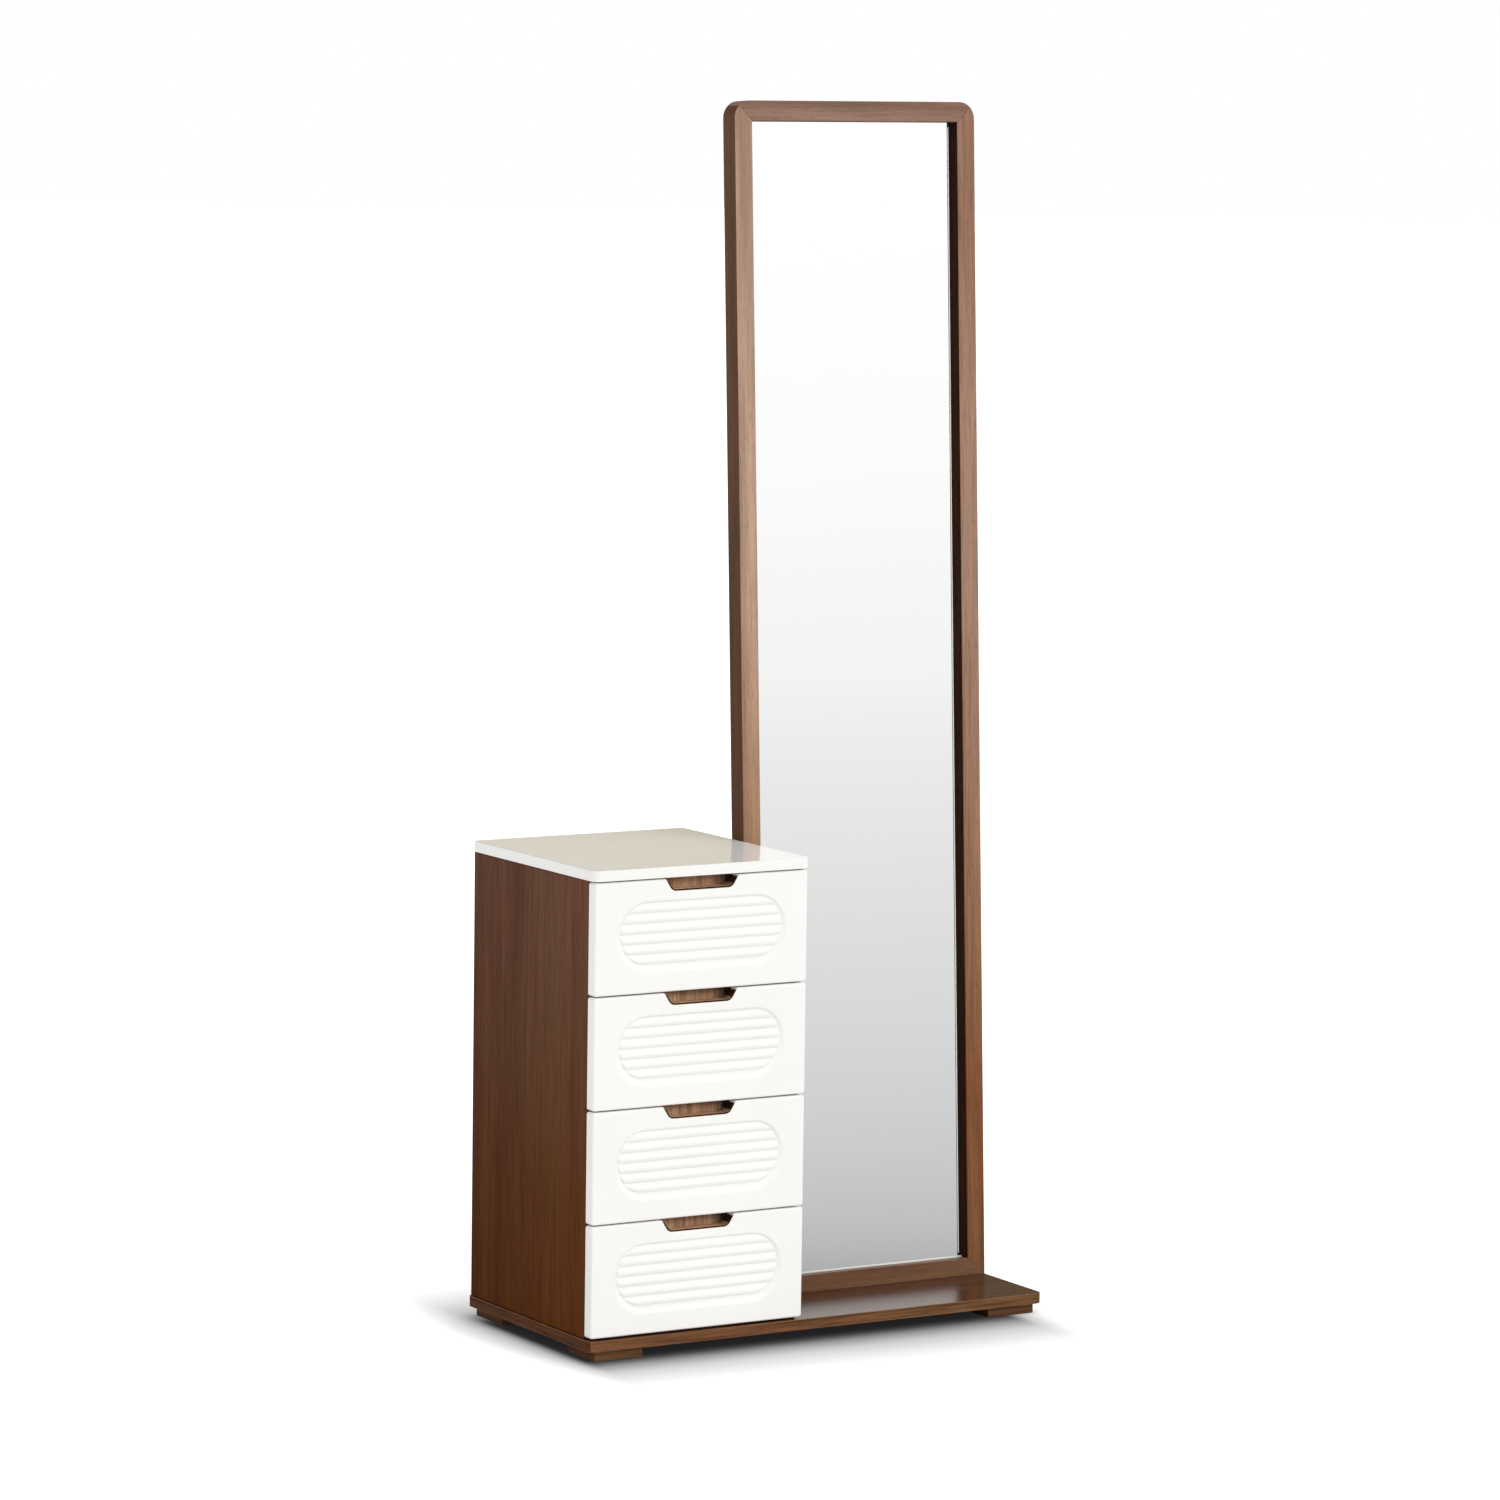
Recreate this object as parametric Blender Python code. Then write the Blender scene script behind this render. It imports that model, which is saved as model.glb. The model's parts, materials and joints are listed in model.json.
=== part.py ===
"""Dressing unit: a walnut base board on four block feet, a cabinet with four drawers,
and a tall framed mirror that stands beside the cabinet and leans back a little.

Metres, +Z up. The front faces -Y. The origin is on the floor, under the middle of the base board.
"""

import math

import bmesh
import bpy
from mathutils import Matrix, Vector

# General clearances
seat_gap = 0.0003          # left between pieces that rest on or against each other
cut_overrun = 0.004        # how far a cutter runs past the face that it opens

# Base board and feet
base_w = 0.776
base_d = 0.376
base_t = 0.016
base_corner_r = 0.012      # vertical corners of the board
board_arris = 0.0008       # eased edge of the wooden boards
foot_w = 0.080
foot_d = 0.080
foot_h = 0.015
foot_inset_x = 0.012       # from the board's ends
foot_inset_y = 0.008       # from the board's front and back edges

# Cabinet
cabinet_w = 0.353          # over the side panels, and the width of the drawer fronts
panel_t = 0.016
back_edge_inset = 0.007    # side panels' back edges, from the base board's back edge
slab_t = 0.016
slab_overhang = 0.003
slab_corner_r = 0.012
slab_arris = 0.0015
back_t = 0.005
back_groove_depth = 0.006
back_groove_inset = 0.010  # from the side panels' back edges to the back panel

# Drawer fronts
drawer_count = 4
drawer_travel = 0.240      # how far a drawer pulls out
front_h = 0.1635
front_t = 0.018
front_gap = 0.002          # between the fronts, and under the slab
front_foot_gap = 0.003     # under the lowest front
front_shut_gap = 0.0015    # behind a front, when the drawer is shut
front_corner_r = 0.004
front_edge_r = 0.0030

# Finger notch in each front, and the walnut pocket that lines it
notch_top_w = 0.121
notch_foot_w = 0.099
notch_h = 0.018
notch_r = 0.012
pull_wall = 0.002          # walnut left around the pocket
pull_setback = 0.0006      # of the pocket's rim, behind the white face
pull_depth = 0.026         # from the rim to the back of the pocket
pull_back_r = 0.009        # upright corners at the back of the pocket
pull_undercut = 0.005      # how far the pocket dips behind the front

# Lapped panel in each front
lap_count = 6
lap_pitch = 0.0149
lap_top_drop = 0.033       # from the top of the front to the first lap
lap_bank_w = 0.266         # over the rounded ends of the laps
lap_depth = 0.0032         # depth at the top of a lap
lap_proud_depth = 0.0008   # depth at the nose of a lap
lap_nose_h = 0.0060        # rounded part of a lap
lap_nose_power = 2.4       # how late the nose turns in
lap_arc_steps = 12         # facets in a quarter of the rounded end
lap_nose_steps = 5

# Recess that the laps stand in: a flat floor round them, then a slope up to the face
recess_depth = 0.0034
recess_end_floor = 0.0038
recess_end_slope = 0.0052
recess_foot_floor = 0.0020
recess_foot_slope = 0.0110
recess_head_floor = 0.0004
recess_head_slope = 0.0030

# Drawer boxes
side_clearance = 0.0125    # between a side panel and the box, for the runners
box_side_t = 0.012
box_h = 0.110
box_lift = 0.020           # box above the lower edge of its front
box_tail = 0.016           # box behind the end of its glides
box_front_t = 0.016
box_front_drop = 0.003     # top of the box front, below the top of the white front
bottom_t = 0.004
bottom_lift = 0.008
bottom_groove_depth = 0.005

# Roller runners
runner_t = 0.0012
runner_l = 0.300
runner_set = 0.002         # from the front edge of the side panel to the channel
channel_w = 0.0095
channel_clear_h = 0.020    # inside the channel
glide_set = 0.004          # from the back of the white front to the drawer's member
glide_foot_w = 0.010       # flange under the box side
glide_rail_w = 0.0065      # flange that runs on the front roller
roller_r = 0.008
roller_set = 0.010         # from the end of a member to its roller's axis
roller_play = 0.003        # between a drawer's roller and the side panel
roller_steps = 24

# Mirror
mirror_top = 1.800         # highest point above the floor
mirror_lean = math.radians(2.87)
mirror_set_y = 0.160       # foot of the mirror, from the base board's front edge
mirror_side_inset = 0.0005
frame_face = 0.030         # stiles and top rail, seen from the front
frame_foot_face = 0.026    # bottom rail
frame_d = 0.035
frame_corner_r = 0.025
frame_arris = 0.0012
frame_lip = 0.0155         # wood in front of the glass
rebate_w = 0.008
corner_steps = 8
glass_t = 0.004
glass_play = 0.001         # around the glass and the backing board
mirror_back_t = 0.004
spacer_r = 0.010
spacer_low_z = 0.200
spacer_high_z = 0.620

# Heights and planes that follow from the sizes above
base_top = foot_h + base_t
carcass_h = front_foot_gap + drawer_count * (front_h + front_gap)
slab_foot = base_top + carcass_h
front_y = -base_d / 2
white_face_y = front_y + slab_overhang
white_back_y = white_face_y + front_t
carcass_front_y = white_back_y + front_shut_gap
carcass_back_y = base_d / 2 - back_edge_inset
cabinet_left_x = -base_w / 2 + slab_overhang
cabinet_right_x = cabinet_left_x + cabinet_w
cabinet_mid_x = cabinet_left_x + cabinet_w / 2
inner_left_x = cabinet_left_x + panel_t
inner_right_x = cabinet_right_x - panel_t
back_front_y = carcass_back_y - back_groove_inset - back_t
slab_right_x = cabinet_right_x + slab_overhang
mirror_left_x = slab_right_x + seat_gap
mirror_right_x = base_w / 2 - mirror_side_inset
mirror_w = mirror_right_x - mirror_left_x
mirror_mid_x = (mirror_left_x + mirror_right_x) / 2
mirror_foot_y = front_y + mirror_set_y
mirror_foot_z = base_top + seat_gap
mirror_h = (mirror_top - mirror_foot_z) / math.cos(mirror_lean)
box_w = cabinet_w - 2 * (panel_t + side_clearance)
box_depth = glide_set + runner_l + box_tail
glide_foot_z = box_lift - seat_gap - runner_t
channel_h = channel_clear_h + 2 * runner_t
roller_z = runner_t + seat_gap + roller_r
glide_rail_z = roller_z + roller_r + seat_gap


# Colours of the plain materials
finish_table = {
    "walnut": ((0.145, 0.073, 0.043), 0.45, 0.0),
    "white_gloss": ((0.86, 0.86, 0.84), 0.22, 0.0),
    "drawer_board": ((0.62, 0.58, 0.52), 0.55, 0.0),
    "hardboard": ((0.30, 0.19, 0.12), 0.70, 0.0),
    "white_steel": ((0.78, 0.78, 0.76), 0.35, 0.6),
    "silvered_glass": ((0.90, 0.92, 0.92), 0.02, 1.0),
    "spacer_plastic": ((0.03, 0.03, 0.03), 0.50, 0.0),
}


def clear_scene():
    for thing in list(bpy.data.objects):
        bpy.data.objects.remove(thing, do_unlink=True)


def make_finish(name):
    colour, roughness, metallic = finish_table[name]
    material = bpy.data.materials.new(name)
    material.use_nodes = True
    shader = material.node_tree.nodes["Principled BSDF"]
    shader.inputs["Base Color"].default_value = (*colour, 1.0)
    shader.inputs["Roughness"].default_value = roughness
    shader.inputs["Metallic"].default_value = metallic
    return material


# Small tools for meshes

def mesh_from(bm, name):
    mesh = bpy.data.meshes.new(name)
    bmesh.ops.recalc_face_normals(bm, faces=bm.faces)
    bm.to_mesh(mesh)
    bm.free()
    return mesh


def block_bm(low, high):
    """A plain block between two corners."""
    low, high = Vector(low), Vector(high)
    bm = bmesh.new()
    bmesh.ops.create_cube(bm, size=1.0)
    bmesh.ops.scale(bm, vec=high - low, verts=bm.verts)
    bmesh.ops.translate(bm, vec=(low + high) / 2, verts=bm.verts)
    return bm


def block(low, high, name="block"):
    return mesh_from(block_bm(low, high), name)


def edges_along(bm, axis):
    """The edges that run along an axis: 0, 1 or 2."""
    return [e for e in bm.edges if abs((e.verts[1].co - e.verts[0].co).normalized()[axis]) > math.cos(math.pi / 8)]


def bevel(bm, edges, radius, steps):
    bmesh.ops.bevel(bm, geom=edges, offset=radius, segments=steps, profile=0.5, affect="EDGES",
                    clamp_overlap=True, material=-1)


def sharp_edges(bm, steepest=math.radians(40)):
    return [e for e in bm.edges if len(e.link_faces) == 2 and e.calc_face_angle() > steepest]


def eased_board(low, high, arris, name):
    """A board with its sharp edges eased."""
    bm = block_bm(low, high)
    bevel(bm, bm.edges[:], arris, 1)
    return mesh_from(bm, name)


def rounded_board(low, high, corner_r, arris, name):
    """A board lying flat, with rounded upright corners and eased edges."""
    bm = block_bm(low, high)
    bevel(bm, edges_along(bm, 2), corner_r, corner_steps)
    bevel(bm, sharp_edges(bm), arris, 2)
    return mesh_from(bm, name)


def loft(rings, name):
    """A solid through rings of points; every ring has as many points, in the same order."""
    bm = bmesh.new()
    loops = [[bm.verts.new(point) for point in ring] for ring in rings]
    count = len(rings[0])
    for near, far in zip(loops, loops[1:]):
        for i in range(count):
            j = (i + 1) % count
            bm.faces.new((near[i], near[j], far[j], far[i]))
    bm.faces.new(loops[0])
    bm.faces.new(loops[-1])
    return mesh_from(bm, name)


def prism(outline, start, end, name, axis=1):
    """An outline pushed along X (axis 0) or Y (axis 1); its points are the other two coordinates."""
    def ring(place):
        if axis == 0:
            return [(place, a, b) for a, b in outline]
        return [(a, place, b) for a, b in outline]
    return loft([ring(start), ring(end)], name)


def arc(centre, radius, first, last, steps):
    """Points on an arc in the plane, from one angle to another."""
    return [(centre[0] + radius * math.cos(first + (last - first) * k / steps),
             centre[1] + radius * math.sin(first + (last - first) * k / steps)) for k in range(steps + 1)]


def disc(x_low, x_high, y, z, radius, steps, name):
    """A round solid with its axis along X."""
    rim = arc((y, z), radius, 0.0, 2 * math.pi * (steps - 1) / steps, steps - 1)
    return prism(rim, x_low, x_high, name, axis=0)


def combine(blank, others, operation, name):
    """Cut meshes out of a blank, or join them to it, and return the finished mesh."""
    objects = []
    for mesh in [blank] + others:
        thing = bpy.data.objects.new(name + "_tool", mesh)
        bpy.context.scene.collection.objects.link(thing)
        objects.append(thing)
    for tool in objects[1:]:
        step = objects[0].modifiers.new(operation.lower(), "BOOLEAN")
        step.operation = operation
        step.solver = "EXACT"
        step.object = tool
    bpy.context.view_layer.update()
    evaluated = objects[0].evaluated_get(bpy.context.evaluated_depsgraph_get())
    finished = bpy.data.meshes.new_from_object(evaluated)
    finished.name = name
    for thing in objects:
        bpy.data.objects.remove(thing, do_unlink=True)
    return finished


def cut(blank, cutters, name):
    return combine(blank, cutters, "DIFFERENCE", name)


def join(blank, others, name):
    return combine(blank, others, "UNION", name)


def place(name, mesh, finish, location=(0.0, 0.0, 0.0), parent=None, smooth=False):
    """Put a finished mesh in the scene as a named piece."""
    if smooth:
        mesh.shade_smooth()
        mesh.set_sharp_from_angle(angle=math.radians(35))
    if not mesh.materials:
        mesh.materials.append(finish)
    piece = bpy.data.objects.new(name, mesh)
    piece.location = location
    piece.parent = parent
    bpy.context.scene.collection.objects.link(piece)
    return piece


def empty(name, location, rotation_x=0.0):
    marker = bpy.data.objects.new(name, None)
    marker.location = location
    marker.rotation_euler.x = rotation_x
    bpy.context.scene.collection.objects.link(marker)
    return marker


# Base board and feet

def build_base(finish):
    board = rounded_board((-base_w / 2, -base_d / 2, foot_h), (base_w / 2, base_d / 2, base_top),
                          base_corner_r, board_arris, "base_board")
    place("base_board", board, finish["walnut"], smooth=True)
    foot = eased_board((-foot_w / 2, -foot_d / 2, 0.0), (foot_w / 2, foot_d / 2, foot_h - seat_gap),
                       board_arris, "foot")
    reach_x = base_w / 2 - foot_inset_x - foot_w / 2
    reach_y = base_d / 2 - foot_inset_y - foot_d / 2
    for side, x in (("left", -reach_x), ("right", reach_x)):
        for end, y in (("front", -reach_y), ("rear", reach_y)):
            place(f"foot_{end}_{side}", foot, finish["walnut"], (x, y, 0.0))


# Cabinet without its drawers

def side_panel(outer_x, inward, name):
    """A side panel with the groove for the back panel; inward is +1 for the left one."""
    inner_x = outer_x + inward * panel_t
    low_x, high_x = min(outer_x, inner_x), max(outer_x, inner_x)
    board = eased_board((low_x, carcass_front_y, base_top + seat_gap),
                        (high_x, carcass_back_y, slab_foot - seat_gap), board_arris, name)
    groove_x = inner_x - inward * back_groove_depth
    past_x = inner_x + inward * cut_overrun
    groove = block((min(groove_x, past_x), back_front_y - seat_gap, base_top - cut_overrun),
                   (max(groove_x, past_x), back_front_y + back_t + seat_gap, slab_foot + cut_overrun))
    return cut(board, [groove], name)


def build_cabinet(finish):
    place("side_panel_left", side_panel(cabinet_left_x, 1, "side_panel_left"), finish["walnut"])
    place("side_panel_right", side_panel(cabinet_right_x, -1, "side_panel_right"), finish["walnut"])
    tongue = back_groove_depth - seat_gap
    back = block((inner_left_x - tongue, back_front_y, base_top + seat_gap),
                 (inner_right_x + tongue, back_front_y + back_t, slab_foot - seat_gap), "back_panel")
    place("back_panel", back, finish["hardboard"])
    slab = rounded_board((cabinet_left_x - slab_overhang, front_y, slab_foot),
                         (slab_right_x, carcass_back_y + slab_overhang, slab_foot + slab_t),
                         slab_corner_r, slab_arris, "top_slab")
    place("top_slab", slab, finish["white_gloss"], smooth=True)


# Drawer fronts. A drawer's own frame has X = 0 at its middle, Y = 0 at the back of the white
# front and Z = 0 at the front's lower edge.

def notch_outline(inset):
    """The notch, narrower towards its foot, with round lower corners; open at the top."""
    foot_z = front_h - notch_h + inset
    top_z = front_h + cut_overrun
    slope = (notch_top_w - notch_foot_w) / 2 / notch_h
    foot_x = notch_foot_w / 2 - inset + slope * inset
    top_x = foot_x + slope * (top_z - foot_z)
    lean = math.atan(slope)
    radius = notch_r - inset
    swing = math.pi / 2 - lean
    reach = radius * math.tan(swing / 2)
    right = arc((foot_x - reach, foot_z + radius), radius, -math.pi / 2, -math.pi / 2 + swing, corner_steps)
    left = [(-x, z) for x, z in reversed(right)]
    return [(top_x, top_z), (-top_x, top_z)] + left + right


def stadium(width, foot_z, top_z, steps):
    """A rectangle with fully rounded ends."""
    radius = (top_z - foot_z) / 2
    middle_z = (top_z + foot_z) / 2
    reach = width / 2 - radius
    right = arc((reach, middle_z), radius, -math.pi / 2, math.pi / 2, steps)
    left = arc((-reach, middle_z), radius, math.pi / 2, 3 * math.pi / 2, steps)
    return right + left


def lap_profile():
    """Y and Z points round the bank of laps: each slopes out to a round nose and turns in again."""
    face = -front_t
    root = face + recess_depth + cut_overrun
    top = front_h - lap_top_drop
    foot = top - lap_count * lap_pitch
    points = [(root, top + cut_overrun), (face + lap_depth, top + cut_overrun)]
    for lap in range(lap_count):
        head = top - lap * lap_pitch
        points.append((face + lap_depth, head))
        for k in range(lap_nose_steps):
            down = k / lap_nose_steps
            depth = lap_proud_depth + (lap_depth - lap_proud_depth) * down ** lap_nose_power
            points.append((face + depth, head - lap_pitch + lap_nose_h * (1 - down)))
    points.append((face + lap_depth, foot))
    points.append((face + lap_depth, foot - cut_overrun))
    points.append((root, foot - cut_overrun))
    return points


def lap_cutter():
    """What is routed out of a front: a stadium recess, less the bank of laps that stands in it."""
    face = -front_t
    top = front_h - lap_top_drop
    foot = top - lap_count * lap_pitch
    steps = 2 * lap_arc_steps
    floor_w = lap_bank_w + 2 * recess_end_floor
    floor_foot, floor_top = foot - recess_foot_floor, top + recess_head_floor
    floor = stadium(floor_w, floor_foot, floor_top, steps)
    mouth = stadium(floor_w + 2 * recess_end_slope, floor_foot - recess_foot_slope, floor_top + recess_head_slope,
                    steps)
    recess = loft([[(x, face - cut_overrun / 2, z) for x, z in mouth],
                   [(x, face, z) for x, z in mouth],
                   [(x, face + recess_depth, z) for x, z in floor]], "recess")
    column = prism(stadium(lap_bank_w, foot, top, steps), face - cut_overrun, face + recess_depth + 2 * cut_overrun,
                   "column")
    laps = prism(lap_profile(), -lap_bank_w, lap_bank_w, "laps", axis=0)
    return cut(recess, [combine(column, [laps], "INTERSECT", "bank")], "lap_cutter")


def white_front():
    """A white drawer front: rounded edges, a finger notch and the lapped panel."""
    bm = block_bm((-cabinet_w / 2, -front_t, 0.0), (cabinet_w / 2, 0.0, front_h))
    bevel(bm, edges_along(bm, 1), front_corner_r, corner_steps)
    rim = [e for e in sharp_edges(bm) if all(abs(v.co.y + front_t) < seat_gap for v in e.verts)]
    bevel(bm, rim, front_edge_r, corner_steps // 2)
    blank = mesh_from(bm, "white_front")
    notch = prism(notch_outline(0.0), -front_t - cut_overrun, cut_overrun, "notch")
    return cut(blank, [notch, lap_cutter()], "white_front")


def box_front():
    """The box front: a walnut board with a block that lines the notch and holds the finger pocket."""
    board = block((-box_w / 2, seat_gap, box_lift), (box_w / 2, seat_gap + box_front_t, front_h - box_front_drop))
    lining = prism(notch_outline(seat_gap), -front_t + pull_setback, seat_gap + box_front_t / 2, "lining")
    above = block((-cabinet_w / 2, -front_t - cut_overrun, front_h - box_front_drop),
                  (cabinet_w / 2, box_front_t + cut_overrun, front_h + 2 * cut_overrun))
    solid = cut(join(board, [lining], "lined_board"), [above], "lined_board")
    throat = prism(notch_outline(seat_gap + pull_wall), -front_t - cut_overrun, pull_wall, "throat")
    half = notch_top_w / 2 - pull_wall
    back_y = -front_t + pull_setback + pull_depth
    bm = block_bm((-half, pull_wall / 2, front_h - notch_h - pull_undercut), (half, back_y, front_h + cut_overrun))
    rear = [e for e in edges_along(bm, 2) if e.verts[0].co.y > pull_wall]
    bevel(bm, rear, min(pull_back_r, back_y - pull_wall), corner_steps)
    hollow = mesh_from(bm, "hollow")
    return cut(solid, [throat, hollow, bottom_slot()], "box_front")


# Drawer boxes

def bottom_slot():
    """The groove that runs round the inside of the box and holds its bottom."""
    reach_x = box_w / 2 - box_side_t + bottom_groove_depth
    low_z = box_lift + bottom_lift
    return block((-reach_x, seat_gap + box_front_t - bottom_groove_depth, low_z - seat_gap),
                 (reach_x, box_depth - box_side_t + bottom_groove_depth, low_z + bottom_t + seat_gap), "slot")


def box_sides():
    """The left side, right side and back of a box, and its bottom."""
    near_y = 2 * seat_gap + box_front_t
    inner_x = box_w / 2 - box_side_t
    top_z = box_lift + box_h
    left = block((-box_w / 2, near_y, box_lift), (-inner_x, box_depth, top_z))
    right = block((inner_x, near_y, box_lift), (box_w / 2, box_depth, top_z))
    back = block((-inner_x + seat_gap, box_depth - box_side_t, box_lift),
                 (inner_x - seat_gap, box_depth, top_z))
    reach_x = inner_x + bottom_groove_depth - seat_gap
    low_z = box_lift + bottom_lift
    bottom = block((-reach_x, seat_gap + box_front_t - bottom_groove_depth + seat_gap, low_z),
                   (reach_x, box_depth - box_side_t + bottom_groove_depth - seat_gap, low_z + bottom_t), "box_bottom")
    return {"side_left": cut(left, [bottom_slot()], "box_side_left"),
            "side_right": cut(right, [bottom_slot()], "box_side_right"),
            "back": cut(back, [bottom_slot()], "box_back"),
            "bottom": bottom}


# Roller runners. X = 0 is the inner face of the left side panel, and Z = 0 the foot of the channel.

def mirrored(mesh, name):
    """The right-hand copy of a left-hand mesh."""
    bm = bmesh.new()
    bm.from_mesh(mesh)
    bmesh.ops.transform(bm, matrix=Matrix.Scale(-1, 4, (1, 0, 0)), verts=bm.verts)
    bmesh.ops.reverse_faces(bm, faces=bm.faces)
    return mesh_from(bm, name)


def channel():
    """The cabinet's member: a channel with a roller at its front end."""
    web = seat_gap + runner_t
    outline = [(seat_gap, 0.0), (channel_w, 0.0), (channel_w, runner_t), (web, runner_t),
               (web, channel_h - runner_t), (channel_w, channel_h - runner_t), (channel_w, channel_h),
               (seat_gap, channel_h)]
    rail = prism(outline, 0.0, runner_l, "channel")
    roller = disc(seat_gap + runner_t / 2, channel_w, roller_set, roller_z, roller_r, roller_steps, "roller")
    return join(rail, [roller], "channel")


def glide():
    """The drawer's member: an angle under the box side, with a rail for the front roller and its own roller."""
    web_far = side_clearance - seat_gap
    web_near = web_far - runner_t
    foot_x = side_clearance + glide_foot_w
    rail_x = web_near - glide_rail_w
    outline = [(web_near, 0.0), (foot_x, 0.0), (foot_x, runner_t), (web_far, runner_t),
               (web_far, glide_rail_z + runner_t), (rail_x, glide_rail_z + runner_t), (rail_x, glide_rail_z),
               (web_near, glide_rail_z)]
    rail = prism(outline, 0.0, runner_l, "glide")
    roller = disc(roller_play, web_near + runner_t / 2, runner_l - roller_set, roller_z, roller_r, roller_steps,
                  "roller")
    return join(rail, [roller], "glide")


def build_drawers(finish):
    front = white_front()
    inner_front = box_front()
    walls = box_sides()
    left_channel, left_glide = channel(), glide()
    right_channel, right_glide = mirrored(left_channel, "channel_right"), mirrored(left_glide, "glide_right")
    half_inside = (inner_right_x - inner_left_x) / 2
    for number in range(1, drawer_count + 1):
        foot_z = base_top + front_foot_gap + (drawer_count - number) * (front_h + front_gap)
        name = f"drawer_{number}"
        slide = empty(name + "_slide", (cabinet_mid_x, white_back_y, foot_z))
        place(name + "_front", front, finish["white_gloss"], parent=slide, smooth=True)
        place(name + "_box_front", inner_front, finish["walnut"], parent=slide, smooth=True)
        place(name + "_side_left", walls["side_left"], finish["drawer_board"], parent=slide)
        place(name + "_side_right", walls["side_right"], finish["drawer_board"], parent=slide)
        place(name + "_back", walls["back"], finish["drawer_board"], parent=slide)
        place(name + "_bottom", walls["bottom"], finish["hardboard"], parent=slide)
        place(name + "_glide_left", left_glide, finish["white_steel"], (-half_inside, glide_set, glide_foot_z), slide,
              smooth=True)
        place(name + "_glide_right", right_glide, finish["white_steel"], (half_inside, glide_set, glide_foot_z), slide,
              smooth=True)
        channel_z = foot_z + glide_foot_z
        channel_y = carcass_front_y + runner_set
        place(f"runner_{number}_left", left_channel, finish["white_steel"], (inner_left_x, channel_y, channel_z),
              smooth=True)
        place(f"runner_{number}_right", right_channel, finish["white_steel"], (inner_right_x, channel_y, channel_z),
              smooth=True)


# Mirror. Its own frame has X = 0 at its middle, Y = 0 at its face and Z = 0 at its foot; the whole
# frame then leans back about its front lower edge.

def frame_ring():
    """The four frame members in one, before the mitres are sawn."""
    bm = block_bm((-mirror_w / 2, 0.0, 0.0), (mirror_w / 2, frame_d, mirror_h))
    top_corners = [e for e in edges_along(bm, 1) if e.verts[0].co.z > mirror_h / 2]
    bevel(bm, top_corners, frame_corner_r, corner_steps)
    for vert in bm.verts:
        if vert.co.z < mirror_h / 2:
            vert.co.z += vert.co.y * math.tan(mirror_lean)
    bevel(bm, [e for e in sharp_edges(bm) if max(v.co.z for v in e.verts) > frame_foot_face], frame_arris, 2)
    blank = mesh_from(bm, "frame")

    def window(grow):
        half = mirror_w / 2 - frame_face + grow
        return [(-half, frame_foot_face - grow), (half, frame_foot_face - grow),
                (half, mirror_h - frame_face + grow), (-half, mirror_h - frame_face + grow)]

    def ring(points, y):
        return [(x, y, z) for x, z in points]

    sight = loft([ring(window(frame_arris + cut_overrun), -cut_overrun), ring(window(0.0), frame_arris),
                  ring(window(0.0), frame_d + cut_overrun)], "sight")
    rebate = prism(window(rebate_w), frame_lip, frame_d + cut_overrun, "rebate")
    return cut(blank, [sight, rebate], "frame")


def sawn_member(ring, planes, name):
    """One member: the ring with all sawn off beyond each plane, given as a point and an outward normal."""
    bm = bmesh.new()
    bm.from_mesh(ring)
    for point, normal in planes:
        swing = Vector(normal).normalized()
        spot = Vector(point) - swing * seat_gap / 2
        result = bmesh.ops.bisect_plane(bm, geom=bm.verts[:] + bm.edges[:] + bm.faces[:], plane_co=spot,
                                        plane_no=swing, clear_outer=True)
        cut_edges = [g for g in result["geom_cut"] if isinstance(g, bmesh.types.BMEdge)]
        bmesh.ops.contextual_create(bm, geom=cut_edges)
    return mesh_from(bm, name)


def mirror_members():
    ring = frame_ring()
    half = mirror_w / 2
    head = mirror_h - frame_face

    def mitre(side, at_top):
        """A point on the mitre line, and the normal that points from the stile to the rail."""
        inner = Vector((side * (half - frame_face), 0.0, head if at_top else frame_foot_face))
        outer = Vector((side * half, 0.0, mirror_h if at_top else 0.0))
        along = outer - inner
        normal = along.cross(Vector((0.0, 1.0, 0.0)))
        if (normal.z > 0) != at_top:
            normal.negate()
        return inner, normal

    members = {}
    for word, side in (("left", -1), ("right", 1)):
        top, foot = mitre(side, True), mitre(side, False)
        middle = ((0.0, 0.0, 0.0), (-side, 0.0, 0.0))
        members["mirror_stile_" + word] = sawn_member(ring, [middle, top, foot], "mirror_stile_" + word)
    for word, at_top in (("top", True), ("bottom", False)):
        planes = [((0.0, 0.0, mirror_h / 2), (0.0, 0.0, -1.0 if at_top else 1.0))]
        for side in (-1, 1):
            point, normal = mitre(side, at_top)
            planes.append((point, -normal))
        members["mirror_rail_" + word] = sawn_member(ring, planes, "mirror_rail_" + word)
    return members


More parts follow.
